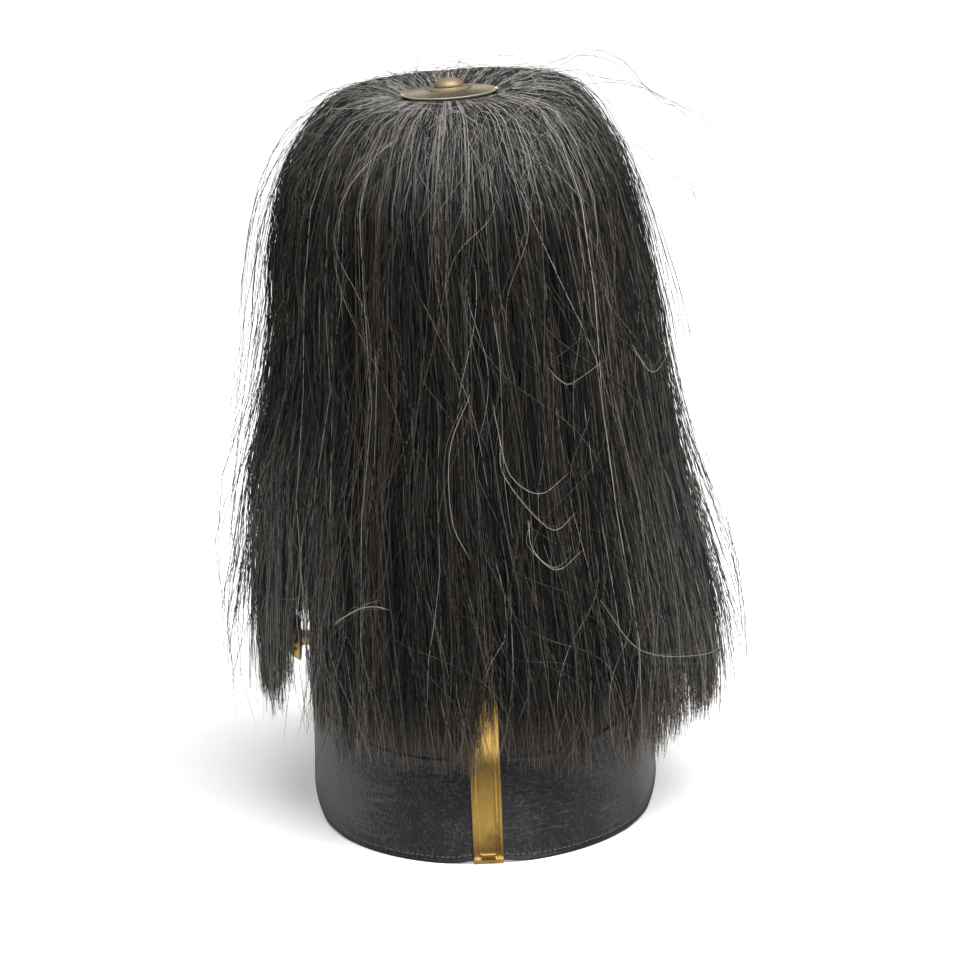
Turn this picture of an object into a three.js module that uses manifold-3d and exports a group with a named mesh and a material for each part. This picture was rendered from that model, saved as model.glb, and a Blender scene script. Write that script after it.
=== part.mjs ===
// Spiked-helmet type parade headdress: leather skull, two visors, brass fittings
// and a long falling hair plume. Millimetres, +Z up, the wearer faces -Y and the
// wearer's left is +X. The helmet stands on its visor edges on z = 0.
import * as THREE from 'three';
import Module from 'manifold-3d';
import { mergeVertices } from 'three/addons/utils/BufferGeometryUtils.js';

const wasm = await Module();
wasm.setup();

// Driving dimensions
const leather = 2.6;
const clearance = 0.3;
const skullHalfWidth = 92;
const skullHalfLength = 107;
const skullShoulder = 60;
const skullTop = 250;
const skullPlan = 2.15;
const skullDome = 2.5;
const rimBack = 50.5;
const rimSide = 69;
const rimFront = 62;
const skullSegments = 44;

const rearVisorReach = 129;
const rearVisorHalfWidth = 93;
const rearVisorPlan = 2.0;
const rearVisorHollow = 0.8;
const frontVisorReach = 139;
const frontVisorHalfWidth = 91;
const frontVisorPlan = 2.3;
const hookRoom = 1.55;

const spineWidth = 15.8;
const spineFlange = 0.9;
const spinePanel = 1.25;
const spineRidge = 2.0;
const hookThickness = 1.25;
const hookReach = 5.5;

const bossHeight = 91;
const bossRadius = 12.2;
const bossDome = 6.6;
const bossStandOff = 5;
const bossPetals = 14;
const bossStem = 4.2;

const leanDeg = 1.7;
const postRadius = 12;
const plateRadius = 36;
const plateDepth = 14;
const plateThickness = 3;
const cupRadius = 22.5;
const cupTop = 382.5;
const cupDepth = 19;
const funnelHeight = 26;
const capRadius = 25;
const capThickness = 2.2;
const knobRadius = 7.7;
const knobHeight = 6.4;
const collarRadius = 10.2;

const plumeRadius = 133;
const plumeDepthShare = 1.03;
const lockThickness = 5.2;
const lockRootThickness = 2.2;
const lockTail = 40;
const backingInset = 5.5;
const backingTopInset = 3;
const backingTopDrop = 2.5;
const lockCount = 20;

// Plan angle, in degrees from the ear, at which the rear visor's edge rises for the hook
const hookSide = spineWidth / 2 + 3 * clearance;
const hookAngle = (Math.acos((hookSide / rearVisorHalfWidth) ** (rearVisorPlan / 2)) * 180) / Math.PI;

// Lower edge of the rear visor by plan angle from the ear in degrees; heights are
// shares of the rim's height at the side
const rearEdge = [
  { angle: -4, height: 0.7826 },
  { angle: -1, height: 0.5797 },
  { angle: 3, height: 0.2029 },
  { angle: 8, height: 0.1536 },
  { angle: 15, height: 0.0957 },
  { angle: 24, height: 0.0261 },
  { angle: 37, height: 0.0022 },
  { angle: 50, height: 0 },
  { angle: 76, height: 0 },
  { angle: hookAngle - 4, height: 0.0072 },
  { angle: hookAngle, height: hookRoom / rimSide },
  { angle: 90, height: hookRoom / rimSide },
];

// Lower edge of the front visor, in the same way
const frontEdge = [
  { angle: 9, height: 0.8116 },
  { angle: 14, height: 0.6812 },
  { angle: 24, height: 0.4638 },
  { angle: 38, height: 0.2319 },
  { angle: 52, height: 0.087 },
  { angle: 66, height: 0.0145 },
  { angle: 78, height: 0 },
  { angle: 90, height: 0 },
];

// Outer form of the plume: radius and sideways shift as shares of the plume's radius,
// height as a share of the cup's, and how much of the post's lean it takes
const plumeShares = [
  { radius: 0.203, height: 0.9995, lean: 1, shift: -0.0015 },
  { radius: 0.2707, height: 1.0144, lean: 1, shift: -0.0045 },
  { radius: 0.3459, height: 1.0196, lean: 1, shift: -0.009 },
  { radius: 0.4211, height: 1.0154, lean: 1, shift: -0.012 },
  { radius: 0.4962, height: 1.0003, lean: 1, shift: -0.012 },
  { radius: 0.5639, height: 0.971, lean: 1, shift: -0.006 },
  { radius: 0.6241, height: 0.932, lean: 1, shift: 0.003 },
  { radius: 0.6767, height: 0.8902, lean: 0.9, shift: 0.009 },
  { radius: 0.7256, height: 0.8288, lean: 0.6, shift: 0.018 },
  { radius: 0.7669, height: 0.7582, lean: 0.2, shift: 0.0218 },
  { radius: 0.8008, height: 0.685, lean: 0, shift: 0.0128 },
  { radius: 0.8308, height: 0.6065, lean: 0, shift: 0.0135 },
  { radius: 0.8722, height: 0.5333, lean: 0, shift: 0.0195 },
  { radius: 0.9135, height: 0.4654, lean: 0, shift: 0.0165 },
  { radius: 0.9474, height: 0.3922, lean: 0, shift: 0.006 },
  { radius: 0.9774, height: 0.319, lean: 0, shift: -0.006 },
  { radius: 0.9962, height: 0.2484, lean: 0, shift: -0.0195 },
  { radius: 1, height: 0.1725, lean: 0, shift: -0.0226 },
  { radius: 0.985, height: 0.0941, lean: 0, shift: -0.0195 },
];

// Inner face of the plume's backing, from the cup's mouth down, in the same shares
const plumeInnerShares = [
  { radius: (cupRadius + clearance) / plumeRadius, height: 0.999, lean: 1, shift: 0 },
  { radius: (cupRadius + clearance) / plumeRadius, height: 0.953, lean: 1, shift: 0 },
  { radius: 0.3158, height: 0.9425, lean: 1, shift: -0.006 },
  { radius: 0.4361, height: 0.9163, lean: 1, shift: -0.0045 },
  { radius: 0.5376, height: 0.8748, lean: 0.9, shift: 0.003 },
  { radius: 0.6015, height: 0.8094, lean: 0.5, shift: 0.018 },
  { radius: 0.6617, height: 0.6842, lean: 0, shift: 0.0128 },
  { radius: 0.7444, height: 0.5325, lean: 0, shift: 0.0188 },
  { radius: 0.8496, height: 0.4125, lean: 0, shift: 0.009 },
  { radius: 0.9098, height: 0.3341, lean: 0, shift: -0.0038 },
];

// Locks of the plume: plan angle from the wearer's left, tip height as a share of the
// cup's, how far the tip swings out as a share of the plume's radius, how far it swings
// round in degrees, width as a share of the even spacing
const locks = [
  { angle: 1, tip: 0.1987, out: 0.0226, swing: 1, width: 1.1 },
  { angle: 18, tip: 0.1516, out: -0.015, swing: -1, width: 1.1 },
  { angle: 39, tip: 0.3085, out: 0, swing: 0, width: 0.95 },
  { angle: 54, tip: 0.1516, out: -0.0075, swing: 1, width: 1.15 },
  { angle: 72, tip: 0.1359, out: 0.0075, swing: -2, width: 1.2 },
  { angle: 90, tip: 0.1412, out: 0.015, swing: 1, width: 1.15 },
  { angle: 108, tip: 0.1307, out: 0.0075, swing: 2, width: 1.2 },
  { angle: 126, tip: 0.1307, out: 0, swing: -1, width: 1.15 },
  { angle: 144, tip: 0.1359, out: 0.0075, swing: 2, width: 1.2 },
  { angle: 162, tip: 0.1307, out: 0, swing: -2, width: 1.1 },
  { angle: 180, tip: 0.1569, out: -0.0075, swing: 1, width: 1.1 },
  { angle: 198, tip: 0.1725, out: 0, swing: 1, width: 1.15 },
  { angle: 216, tip: 0.1987, out: 0.0075, swing: -2, width: 1.15 },
  { angle: 234, tip: 0.2144, out: 0, swing: 1, width: 1.2 },
  { angle: 252, tip: 0.2353, out: 0.015, swing: -1, width: 1.15 },
  { angle: 270, tip: 0.2248, out: 0.0075, swing: 1, width: 1.2 },
  { angle: 288, tip: 0.2405, out: 0.015, swing: 2, width: 1.15 },
  { angle: 306, tip: 0.2301, out: 0, swing: -1, width: 1.2 },
  { angle: 324, tip: 0.2301, out: 0.0075, swing: 1, width: 1.15 },
  { angle: 342, tip: 0.2196, out: 0, swing: -1, width: 1.15 },
];

// Finishes
const blackLeather = new THREE.MeshStandardMaterial({ color: 0x121417, roughness: 0.42 });
const brass = new THREE.MeshStandardMaterial({ color: 0xb08a3c, roughness: 0.35, metalness: 1 });
const agedBrass = new THREE.MeshStandardMaterial({ color: 0x8f8260, roughness: 0.5, metalness: 1 });
const hair = new THREE.MeshStandardMaterial({ color: 0x15130f, roughness: 0.6 });

// Angles and tables
function radians(degrees) {
  return (degrees * Math.PI) / 180;
}

function mix(a, b, share) {
  return a + (b - a) * share;
}

function lookUp(table, key, value, column) {
  const rising = table[table.length - 1][key] > table[0][key];
  for (let i = 1; i < table.length; i += 1) {
    const low = table[i - 1][key];
    const high = table[i][key];
    const inside = rising ? value <= high : value >= high;
    if (inside || i === table.length - 1) {
      const share = Math.min(1, Math.max(0, (value - low) / (high - low)));
      return mix(table[i - 1][column], table[i][column], share);
    }
  }
  return table[0][column];
}

function superPoint(halfWidth, halfLength, power, angle) {
  const c = Math.cos(angle);
  const s = Math.sin(angle);
  const x = halfWidth * Math.sign(c) * Math.abs(c) ** (2 / power);
  const y = halfLength * Math.sign(s) * Math.abs(s) ** (2 / power);
  return [x, y];
}

// Closed bodies from rings of points
function geometryFrom(points, triangles) {
  const geometry = new THREE.BufferGeometry();
  geometry.setAttribute('position', new THREE.Float32BufferAttribute(points.flat(), 3));
  geometry.setIndex(triangles.flat());
  return geometry;
}

// Rings of equal count, joined one to the next; each end is closed by a fan, or
// the last ring is joined back to the first
function loft(rings, ringClosed = true, looped = false) {
  const count = rings[0].length;
  const points = rings.flat();
  const triangles = [];
  const rows = looped ? rings.length : rings.length - 1;
  const columns = ringClosed ? count : count - 1;
  for (let r = 0; r < rows; r += 1) {
    const next = (r + 1) % rings.length;
    for (let k = 0; k < columns; k += 1) {
      const a = r * count + k;
      const b = r * count + ((k + 1) % count);
      const c = next * count + ((k + 1) % count);
      const d = next * count + k;
      triangles.push([a, b, c], [a, c, d]);
    }
  }
  if (!looped) {
    for (const end of [0, rings.length - 1]) {
      const centre = [0, 1, 2].map((i) => rings[end].reduce((t, p) => t + p[i], 0) / count);
      const hub = points.length;
      points.push(centre);
      for (let k = 0; k < count; k += 1) {
        const a = end * count + k;
        const b = end * count + ((k + 1) % count);
        triangles.push(end === 0 ? [hub, b, a] : [hub, a, b]);
      }
    }
  }
  return outward(geometryFrom(points, triangles));
}

// Turns a body's faces outward when its measured volume is negative
function outward(geometry) {
  const p = geometry.attributes.position.array;
  const t = Array.from(geometry.index.array);
  let volume = 0;
  for (let i = 0; i < t.length; i += 3) {
    const [a, b, c] = [t[i] * 3, t[i + 1] * 3, t[i + 2] * 3];
    volume += p[a] * (p[b + 1] * p[c + 2] - p[b + 2] * p[c + 1]);
    volume += p[a + 1] * (p[b + 2] * p[c] - p[b] * p[c + 2]);
    volume += p[a + 2] * (p[b] * p[c + 1] - p[b + 1] * p[c]);
  }
  if (volume < 0) {
    for (let i = 0; i < t.length; i += 3) {
      [t[i + 1], t[i + 2]] = [t[i + 2], t[i + 1]];
    }
    geometry.setIndex(t);
  }
  return geometry;
}

function lathe(profile, segments) {
  const outline = profile.map(([r, z]) => new THREE.Vector2(r, z));
  const geometry = new THREE.LatheGeometry(outline, segments);
  geometry.rotateX(Math.PI / 2);
  return outward(welded(geometry));
}

function welded(geometry) {
  geometry.deleteAttribute('normal');
  geometry.deleteAttribute('uv');
  return withoutSlivers(mergeVertices(geometry, 1e-4));
}

function withoutSlivers(geometry) {
  const t = Array.from(geometry.index.array);
  const kept = [];
  for (let i = 0; i < t.length; i += 3) {
    const [a, b, c] = [t[i], t[i + 1], t[i + 2]];
    if (a !== b && b !== c && a !== c) {
      kept.push(a, b, c);
    }
  }
  geometry.setIndex(kept);
  return geometry;
}

// Booleans
function solidOf(geometry) {
  const vertProperties = new Float32Array(geometry.attributes.position.array);
  const triVerts = new Uint32Array(geometry.index.array);
  return new wasm.Manifold(new wasm.Mesh({ numProp: 3, vertProperties, triVerts }));
}

function geometryOf(solid) {
  const mesh = solid.getMesh();
  const geometry = new THREE.BufferGeometry();
  geometry.setAttribute('position', new THREE.BufferAttribute(mesh.vertProperties, 3));
  geometry.setIndex(Array.from(mesh.triVerts));
  return geometry;
}

// The post's lean about the skull's crown, towards the wearer's left
function leaned([x, y, z], share = 1) {
  const angle = radians(leanDeg);
  const lx = x * Math.cos(angle) + (z - skullTop) * Math.sin(angle);
  const lz = skullTop + (z - skullTop) * Math.cos(angle) - x * Math.sin(angle);
  return [mix(x, lx, share), y, mix(z, lz, share)];
}

function leanGeometry(geometry) {
  const position = geometry.attributes.position;
  for (let i = 0; i < position.count; i += 1) {
    const p = leaned([position.getX(i), position.getY(i), position.getZ(i)]);
    position.setXYZ(i, ...p);
  }
  return geometry;
}

// Skull: rim height round the plan, then the dome above it
function rimHeight(angle) {
  const s = Math.sin(angle);
  const end = s > 0 ? rimBack : rimFront;
  return mix(rimSide, end, 1 - Math.abs(Math.cos(angle)) ** 3);
}

function domeShare(z, top) {
  const climb = Math.max(0, (z - skullShoulder) / (top - skullShoulder));
  return Math.max(0, 1 - climb ** skullDome) ** (1 / skullDome);
}

function skullPoint(angle, climb, inset) {
  const top = skullTop - inset;
  const z = mix(rimHeight(angle), top, climb);
  const share = domeShare(z, top);
  const [x, y] = superPoint(skullHalfWidth - inset, skullHalfLength - inset, skullPlan, angle);
  return [x * share, y * share, z];
}

const skullClimbs = [0, 9, 19, 29, 39, 49, 59, 69, 78, 85].map((deg) => Math.sin(radians(deg)) ** 0.8);

function skullRings(inset) {
  return skullClimbs.map((climb) => {
    const ring = [];
    for (let k = 0; k < skullSegments; k += 1) {
      ring.push(skullPoint((2 * Math.PI * k) / skullSegments, climb, inset));
    }
    return ring;
  });
}

function skullGeometry() {
  const outside = skullRings(0);
  const inside = skullRings(leather).reverse();
  return loft([...inside, ...outside]);
}

function domeGeometry(inset) {
  return loft(skullRings(inset));
}

// Visors: a bent sheet of leather between the skull's rim and its own lower edge
function visorGeometry(form) {
  const rings = [];
  const rows = [0, 0.25, 0.5, 0.75, 1];
  for (const degrees of form.angles) {
    const angle = radians(degrees) * form.side;
    const fromEar = Math.min(degrees, 180 - degrees);
    const top = rimHeight(angle) - clearance;
    const low = lookUp(form.edge, 'angle', fromEar, 'height') * rimSide;
    const section = [];
    for (const inset of [0, leather]) {
      const order = inset === 0 ? rows : [...rows].reverse();
      for (const row of order) {
        const z = mix(top, low, row);
        const drop = (top - z) / top;
        const swell = form.swell * Math.sin(Math.PI * drop);
        const halfWidth = mix(skullHalfWidth, form.halfWidth, drop) + swell - inset;
        const halfLength = mix(skullHalfLength, form.reach, drop) + swell - inset;
        const power = mix(skullPlan, form.plan, drop);
        const [x, y] = superPoint(halfWidth, halfLength, power, angle);
        section.push([x, y, z]);
      }
    }
    rings.push(section);
  }
  return loft(rings);
}

const rearAngles = [-4, -1, 3, 8, 15, 24, 33, 42, 51, 60, 68, 76, hookAngle - 4, hookAngle, 87.5, 90];
const frontAngles = [9, 14, 19, 24, 31, 38, 45, 52, 59, 66, 72, 78, 84, 90];

function bothHalves(angles) {
  const other = angles.slice(0, -1).reverse().map((a) => 180 - a);
  return [...angles, ...other];
}

const rearVisor = {
  side: 1,
  angles: bothHalves(rearAngles),
  edge: rearEdge,
  reach: rearVisorReach,
  halfWidth: rearVisorHalfWidth,
  plan: rearVisorPlan,
  swell: -rearVisorHollow,
};

const frontVisor = {
  side: -1,
  angles: bothHalves(frontAngles),
  edge: frontEdge,
  reach: frontVisorReach,
  halfWidth: frontVisorHalfWidth,
  plan: frontVisorPlan,
  swell: 0,
};

// Rear spine: a ridged strip that follows skull and visor and hooks under the edge
function spineSection(ridge, thick) {
  const half = spineWidth / 2;
  const flange = Math.max(spineFlange, thick);
  const panel = Math.max(spinePanel, thick);
  const crest = mix(panel, spineRidge, ridge);
  const valley = mix(panel, flange, ridge);
  return [
    [-half, 0], [half, 0], [half, flange], [half * 0.8, valley],
    [half * 0.7, crest], [half * 0.56, crest], [half * 0.46, panel],
    [-half * 0.46, panel], [-half * 0.56, crest], [-half * 0.7, crest],
    [-half * 0.8, valley], [-half, flange],
  ];
}

function spineStations() {
  const stations = [];
  const angle = Math.PI / 2;
  const crown = skullPoint(angle, skullClimbs[8], -clearance);
  const below = skullPoint(angle, skullClimbs[7], -clearance);
  stations.push({ y: mix(below[1], crown[1], 0.5), z: mix(below[2], crown[2], 0.5), ridge: 0, thick: 0 });
  for (const climb of skullClimbs.slice(1, 8).reverse()) {
    const [, y, z] = skullPoint(angle, climb, -clearance);
    stations.push({ y, z, ridge: 1, thick: 0 });
  }
  const y0 = skullHalfLength + clearance;
  stations.push({ y: y0, z: rimBack + spineWidth * 0.38, ridge: 1, thick: 0 });
  const out = clearance * 1.15;
  for (const drop of [0.01, 0.25, 0.5, 0.75, 0.9]) {
    const z = (rimBack - clearance) * (1 - drop);
    const swell = rearVisor.swell * Math.sin(Math.PI * drop);
    const y = mix(skullHalfLength, rearVisorReach, drop) + swell + out;
    stations.push({ y, z, ridge: drop > 0.8 ? 0.6 : 1, thick: 0 });
  }
  const foot = hookRoom - clearance;
  const bend = { y: rearVisorReach + out - leather / 2, z: foot + hookThickness * 1.28 };
  stations.push({ ...bend, ridge: 0, thick: hookThickness });
  const corner = { y: rearVisorReach + out - leather * 0.35, z: foot, ridge: 0, thick: hookThickness };
  stations.push({ ...corner, facing: [0.75, -1] });
  const toe = { y: rearVisorReach - hookReach, z: foot, ridge: 0, thick: hookThickness };
  stations.push({ ...toe, facing: [0, -1] });
  return stations;
}

function spineGeometry() {
  const stations = spineStations();
  const rings = stations.map((s, i) => {
    const before = stations[Math.max(0, i - 1)];
    const after = stations[Math.min(stations.length - 1, i + 1)];
    const normals = [];
    for (const [p, q] of [[before, s], [s, after]]) {
      const length = Math.hypot(q.y - p.y, q.z - p.z);
      if (length > 0) {
        normals.push([-(q.z - p.z) / length, (q.y - p.y) / length]);
      }
    }
    let ny = normals.reduce((t, n) => t + n[0], 0) / normals.length;
    let nz = normals.reduce((t, n) => t + n[1], 0) / normals.length;
    let reach = ny * ny + nz * nz;
    if (s.facing) {
      [ny, nz] = s.facing;
      reach = 1;
    }
    return spineSection(s.ridge, s.thick).map(([x, up]) => [
      x,
      s.y + (ny / reach) * up,
      s.z + (nz / reach) * up,
    ]);
  });
  return loft(rings);
}

// Side boss: a fluted dome on a short stem
function bossGeometry(side) {
  const segments = bossPetals * 2;
  const seat = skullHalfWidth + clearance;
  const face = seat + bossStandOff;
  const rows = [
    { r: bossStem, x: seat, flute: 0 },
    { r: bossStem, x: face - bossStandOff * 0.3, flute: 0 },
    { r: bossRadius * 0.918, x: face - bossStandOff * 0.12, flute: 0 },
    { r: bossRadius, x: face + bossDome * 0.09, flute: 0.2 },
    { r: bossRadius * 0.934, x: face + bossDome * 0.27, flute: 0.5 },
    { r: bossRadius * 0.72, x: face + bossDome * 0.72, flute: 0.6 },
    { r: bossRadius * 0.36, x: face + bossDome * 1.05, flute: 0.2 },
    { r: bossRadius * 0.2, x: face + bossDome * 1.3, flute: 0 },
  ];
  const rings = rows.map((row) => {
    const ring = [];
    for (let k = 0; k < segments; k += 1) {
      const angle = (2 * Math.PI * k) / segments;
      const r = row.r - (k % 2) * row.flute;
      ring.push([row.x * side, r * Math.cos(angle), bossHeight + r * Math.sin(angle)]);
    }
    return ring;
  });
  return loft(rings);
}

// Plume holder: a base plate on the crown, a plain neck and a cup for the hair
function postGeometry() {
  const under = skullTop - plateDepth;
  const plate = [
    [0, under], [plateRadius, under], [plateRadius, skullTop - plateThickness * 0.8],
    [plateRadius * 0.83, skullTop + plateThickness * 0.13],
    [postRadius * 1.33, skullTop + plateThickness], [0, skullTop + plateThickness],
  ];
  const foot = skullTop + plateThickness / 3;
  const neck = [
    [0, foot], [postRadius, foot], [postRadius, cupTop - cupDepth - funnelHeight],
    [cupRadius, cupTop - cupDepth], [cupRadius, cupTop], [0, cupTop],
  ];
  const base = solidOf(lathe(plate, 28)).subtract(solidOf(domeGeometry(-clearance)));
  const stem = solidOf(leanGeometry(lathe(neck, 24)));
  return geometryOf(base.add(stem));
}

// Cap of the plume and the low domed knob on its collar
function capGeometry() {
  const low = cupTop + clearance;
  const t = capThickness;
  const profile = [
    [0, low], [capRadius - t * 0.27, low], [capRadius, low + t * 0.23],
    [capRadius - t * 0.14, low + t * 0.5], [capRadius - t * 0.73, low + t * 0.55],
    [collarRadius * 1.27, low + t], [0, low + t],
  ];
  return leanGeometry(lathe(profile, 48));
}

function knobGeometry() {
  const low = cupTop + 2 * clearance + capThickness;
  const h = knobHeight;
  const profile = [
    [0, low], [collarRadius, low], [collarRadius, low + h * 0.07],
    [collarRadius * 0.92, low + h * 0.13], [mix(collarRadius, knobRadius, 0.8), low + h * 0.2],
    [knobRadius, low + h * 0.27], [knobRadius, low + h * 0.42], [knobRadius * 0.9, low + h * 0.66],
    [knobRadius * 0.66, low + h * 0.87], [knobRadius * 0.34, low + h * 0.97], [0, low + h],
  ];
  return leanGeometry(lathe(profile, 24));
}

// Plume: a hollow backing round the cup with the locks fused on
function sized(row) {
  return {
    radius: row.radius * plumeRadius,
    height: row.height * cupTop,
    lean: row.lean,
    shift: row.shift * plumeRadius,
  };
}

const plumeForm = plumeShares.map(sized);
const plumeInner = plumeInnerShares.map(sized);

function plumePoint(row, angle, inset, radius = row.radius) {
  const r = radius - inset;
  const plain = [r * Math.cos(angle), r * Math.sin(angle), row.height];
  const rise = (row.height / cupTop - 0.523) / 0.47;
  const deep = mix(plumeDepthShare, 1, Math.min(1, Math.max(0, rise)));
  const [x, y, z] = leaned([plain[0], plain[1] * deep, plain[2]], row.lean);
  return [x + row.shift, y, z];
}

function plumeRowAt(height) {
  const columns = ['radius', 'lean', 'shift'];
  const row = { height };
  for (const column of columns) {
    row[column] = lookUp(plumeForm.slice(2), 'height', height, column);
  }
  return row;
}

function backingGeometry() {
  const segments = lockCount * 2;
  const ringOf = (row, inset, drop = 0) => {
    const ring = [];
    for (let k = 0; k < segments; k += 1) {
      const p = plumePoint(row, (2 * Math.PI * k) / segments, inset);
      ring.push([p[0], p[1], p[2] - drop]);
    }
    return ring;
  };
  const rings = plumeInner.map((row) => ringOf(row, 0)).reverse();
  rings.push(ringOf(plumeForm[0], backingTopInset / 2));
  rings.push(ringOf(plumeForm[1], 0, backingTopDrop * 0.8));
  for (const i of [3, 4, 5, 7, 9, 11, 13, 15]) {
    const near = i < 5;
    rings.push(ringOf(plumeForm[i], near ? backingTopInset : backingInset, near ? backingTopDrop : 0));
  }
  return loft(rings, true, true);
}

function lockGeometry(lock) {
  const starts = [1, 2, 4, 5, 7, 9, 11, 13];
  const tip = lock.tip * cupTop;
  const rows = starts.map((i) => plumeForm[i]).filter((row) => row.height > tip + lockTail);
  const spacing = (2 * Math.PI) / lockCount;
  const stations = rows.map((row) => ({ row, swing: 0, out: 0, slim: 1 }));
  const low = [
    { share: 0.5, slim: 0.98, out: 0.4, swing: 0.3 },
    { share: 0.86, slim: 0.84, out: 0.8, swing: 0.7 },
    { share: 1, slim: 0.4, out: 1, swing: 1 },
  ];
  const last = rows[rows.length - 1].height;
  for (const end of low) {
    const row = plumeRowAt(mix(last, tip, end.share));
    const out = lock.out * end.out * plumeRadius;
    stations.push({ row, swing: lock.swing * end.swing, out, slim: end.slim });
  }
  const rings = stations.map((s, i) => {
    const angle = radians(lock.angle + s.swing);
    const before = stations[Math.max(0, i - 1)].row;
    const after = stations[Math.min(stations.length - 1, i + 1)].row;
    const dr = after.radius - before.radius;
    const dz = after.height - before.height;
    const length = Math.hypot(dr, dz);
    const outR = -dz / length;
    const outZ = dr / length;
    const half = s.row.radius * spacing * 0.5 * lock.width * s.slim;
    const full = Math.min(1, s.row.radius / (plumeRadius * 0.75));
    const thick = mix(lockRootThickness, lockThickness, full) * Math.sqrt(s.slim);
    const section = [
      [-1, -0.35], [-0.5, 0.82], [0, 1], [0.5, 0.82], [1, -0.35], [0, -0.9],
    ];
    return section.map(([across, up]) => {
      const turn = angle + (across * half) / s.row.radius;
      const rise = thick * (up - 1);
      const moved = { ...s.row, height: s.row.height + outZ * rise };
      return plumePoint(moved, turn, 0, s.row.radius + s.out + outR * rise);
    });
  });
  return loft(rings);
}

function plumeGeometry() {
  let plume = solidOf(backingGeometry());
  for (const lock of locks) {
    plume = plume.add(solidOf(lockGeometry(lock)));
  }
  return geometryOf(plume);
}

// The assembly
const helmet = new THREE.Group();

function place(name, geometry, material) {
  const mesh = new THREE.Mesh(geometry, material);
  mesh.name = name;
  helmet.add(mesh);
}

place('skull_shell', skullGeometry(), blackLeather);
place('rear_visor', visorGeometry(rearVisor), blackLeather);
place('front_visor', visorGeometry(frontVisor), blackLeather);
place('rear_spine', spineGeometry(), brass);
place('side_boss_left', bossGeometry(1), brass);
place('side_boss_right', bossGeometry(-1), brass);
place('plume_post', postGeometry(), agedBrass);
place('plume', plumeGeometry(), hair);
place('plume_cap', capGeometry(), agedBrass);
place('plume_knob', knobGeometry(), agedBrass);

export default helmet;
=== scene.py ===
"""A black leather parade helmet with a brass spine under a long falling plume of horsehair.

Everything is in metres, +Z up. The wearer faces -Y, the wearer's left is +X, and the camera
looks at the back, where the brass spine runs down to the rear visor's edge.
"""

import math
import bpy
import numpy as np
from mathutils import Matrix, Vector


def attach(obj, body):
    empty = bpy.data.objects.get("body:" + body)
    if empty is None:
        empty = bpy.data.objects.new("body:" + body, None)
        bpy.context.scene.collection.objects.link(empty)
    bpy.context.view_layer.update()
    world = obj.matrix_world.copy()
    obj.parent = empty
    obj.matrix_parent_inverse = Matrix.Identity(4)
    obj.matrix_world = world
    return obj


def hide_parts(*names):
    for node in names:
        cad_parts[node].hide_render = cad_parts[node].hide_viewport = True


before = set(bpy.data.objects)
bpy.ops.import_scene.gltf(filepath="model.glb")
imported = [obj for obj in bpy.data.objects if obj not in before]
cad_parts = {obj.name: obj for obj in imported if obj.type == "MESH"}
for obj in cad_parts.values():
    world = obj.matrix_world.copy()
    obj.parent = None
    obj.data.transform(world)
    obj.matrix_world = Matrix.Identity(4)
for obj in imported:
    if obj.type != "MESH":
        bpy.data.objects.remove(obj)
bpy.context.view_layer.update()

bl_info = {
    "name": "Parade helmet with hair plume",
    "version": (1, 0, 0),
    "blender": (4, 5, 0),
    "location": "3D View > Sidebar > Helmet",
    "description": "Builds a leather helmet with brass fittings and a falling plume of horsehair",
    "category": "Object",
}

MM = 0.001
TURN = 2.0 * math.pi
PICTURE = 960.0
SENSOR = 36.0

# Skull and visors, in millimetres, as the solids have them
LEATHER = 2.6
HALF_WIDTH = 92.0
HALF_LENGTH = 107.0
SHOULDER = 60.0
CROWN = 250.0
SKULL_PLAN = 2.15
DOME = 2.5
RIM_BACK = 50.5
RIM_SIDE = 69.0
RIM_FRONT = 62.0
JOIN = 0.3
VISOR_DEPTH = 48.6

# Visors: reach, half width and plan power of the lower edge, swell of the face, side of the helmet;
# then the lower edge as rows of degrees from the ear and height
REAR = {"reach": 129.0, "width": 93.0, "plan": 2.0, "swell": -0.8, "side": 1}
FRONT = {"reach": 139.0, "width": 91.0, "plan": 2.3, "swell": 0.0, "side": -1}
REAR_EDGE = [
    (-4, 54), (-1, 40), (3, 14), (8, 10.6), (15, 6.6), (24, 1.8), (37, 0.15), (50, 0), (76, 0),
    (80.6, 0.5), (84.6, 1.55), (90, 1.55),
]
FRONT_EDGE = [(9, 56), (14, 47), (24, 32), (38, 16), (52, 6), (66, 1), (78, 0), (90, 0)]

# Plume holder, cap and knob
LEAN = math.radians(1.7)
CUP_TOP = 382.5
CAP_RADIUS = 25.0
CAP_THICK = 2.2
KNOB_RADIUS = 7.7
COLLAR_RADIUS = 10.2
KNOB_HEIGHT = 6.4
BOSS_HEIGHT = 91.0
SPINE_WIDTH = 15.8
SPINE_PANEL = 4.7
PANEL_CORNER = 1.8
STRIP_GAP = 0.35
TOP_SHIFT = (CUP_TOP + 1.0 - CROWN) * math.sin(LEAN)

# Hair: highest start of the short strands, mean and greatest radius of the low ends, depth of the
# strands over the dense body, and how far from the middle the dusty grey and painted sheen lie,
# towards the wearer's right
HAIR_TOP = 372.0
TIP_RADIUS = 130.0
WIDEST = 141.0
STRAND_LAYER = 4.6
DUST_AND_SHEEN_MIDDLE = 8.0
SEEDS = {"under": 11, "tufts": 5, "locks": 23, "curls": 41}

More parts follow.
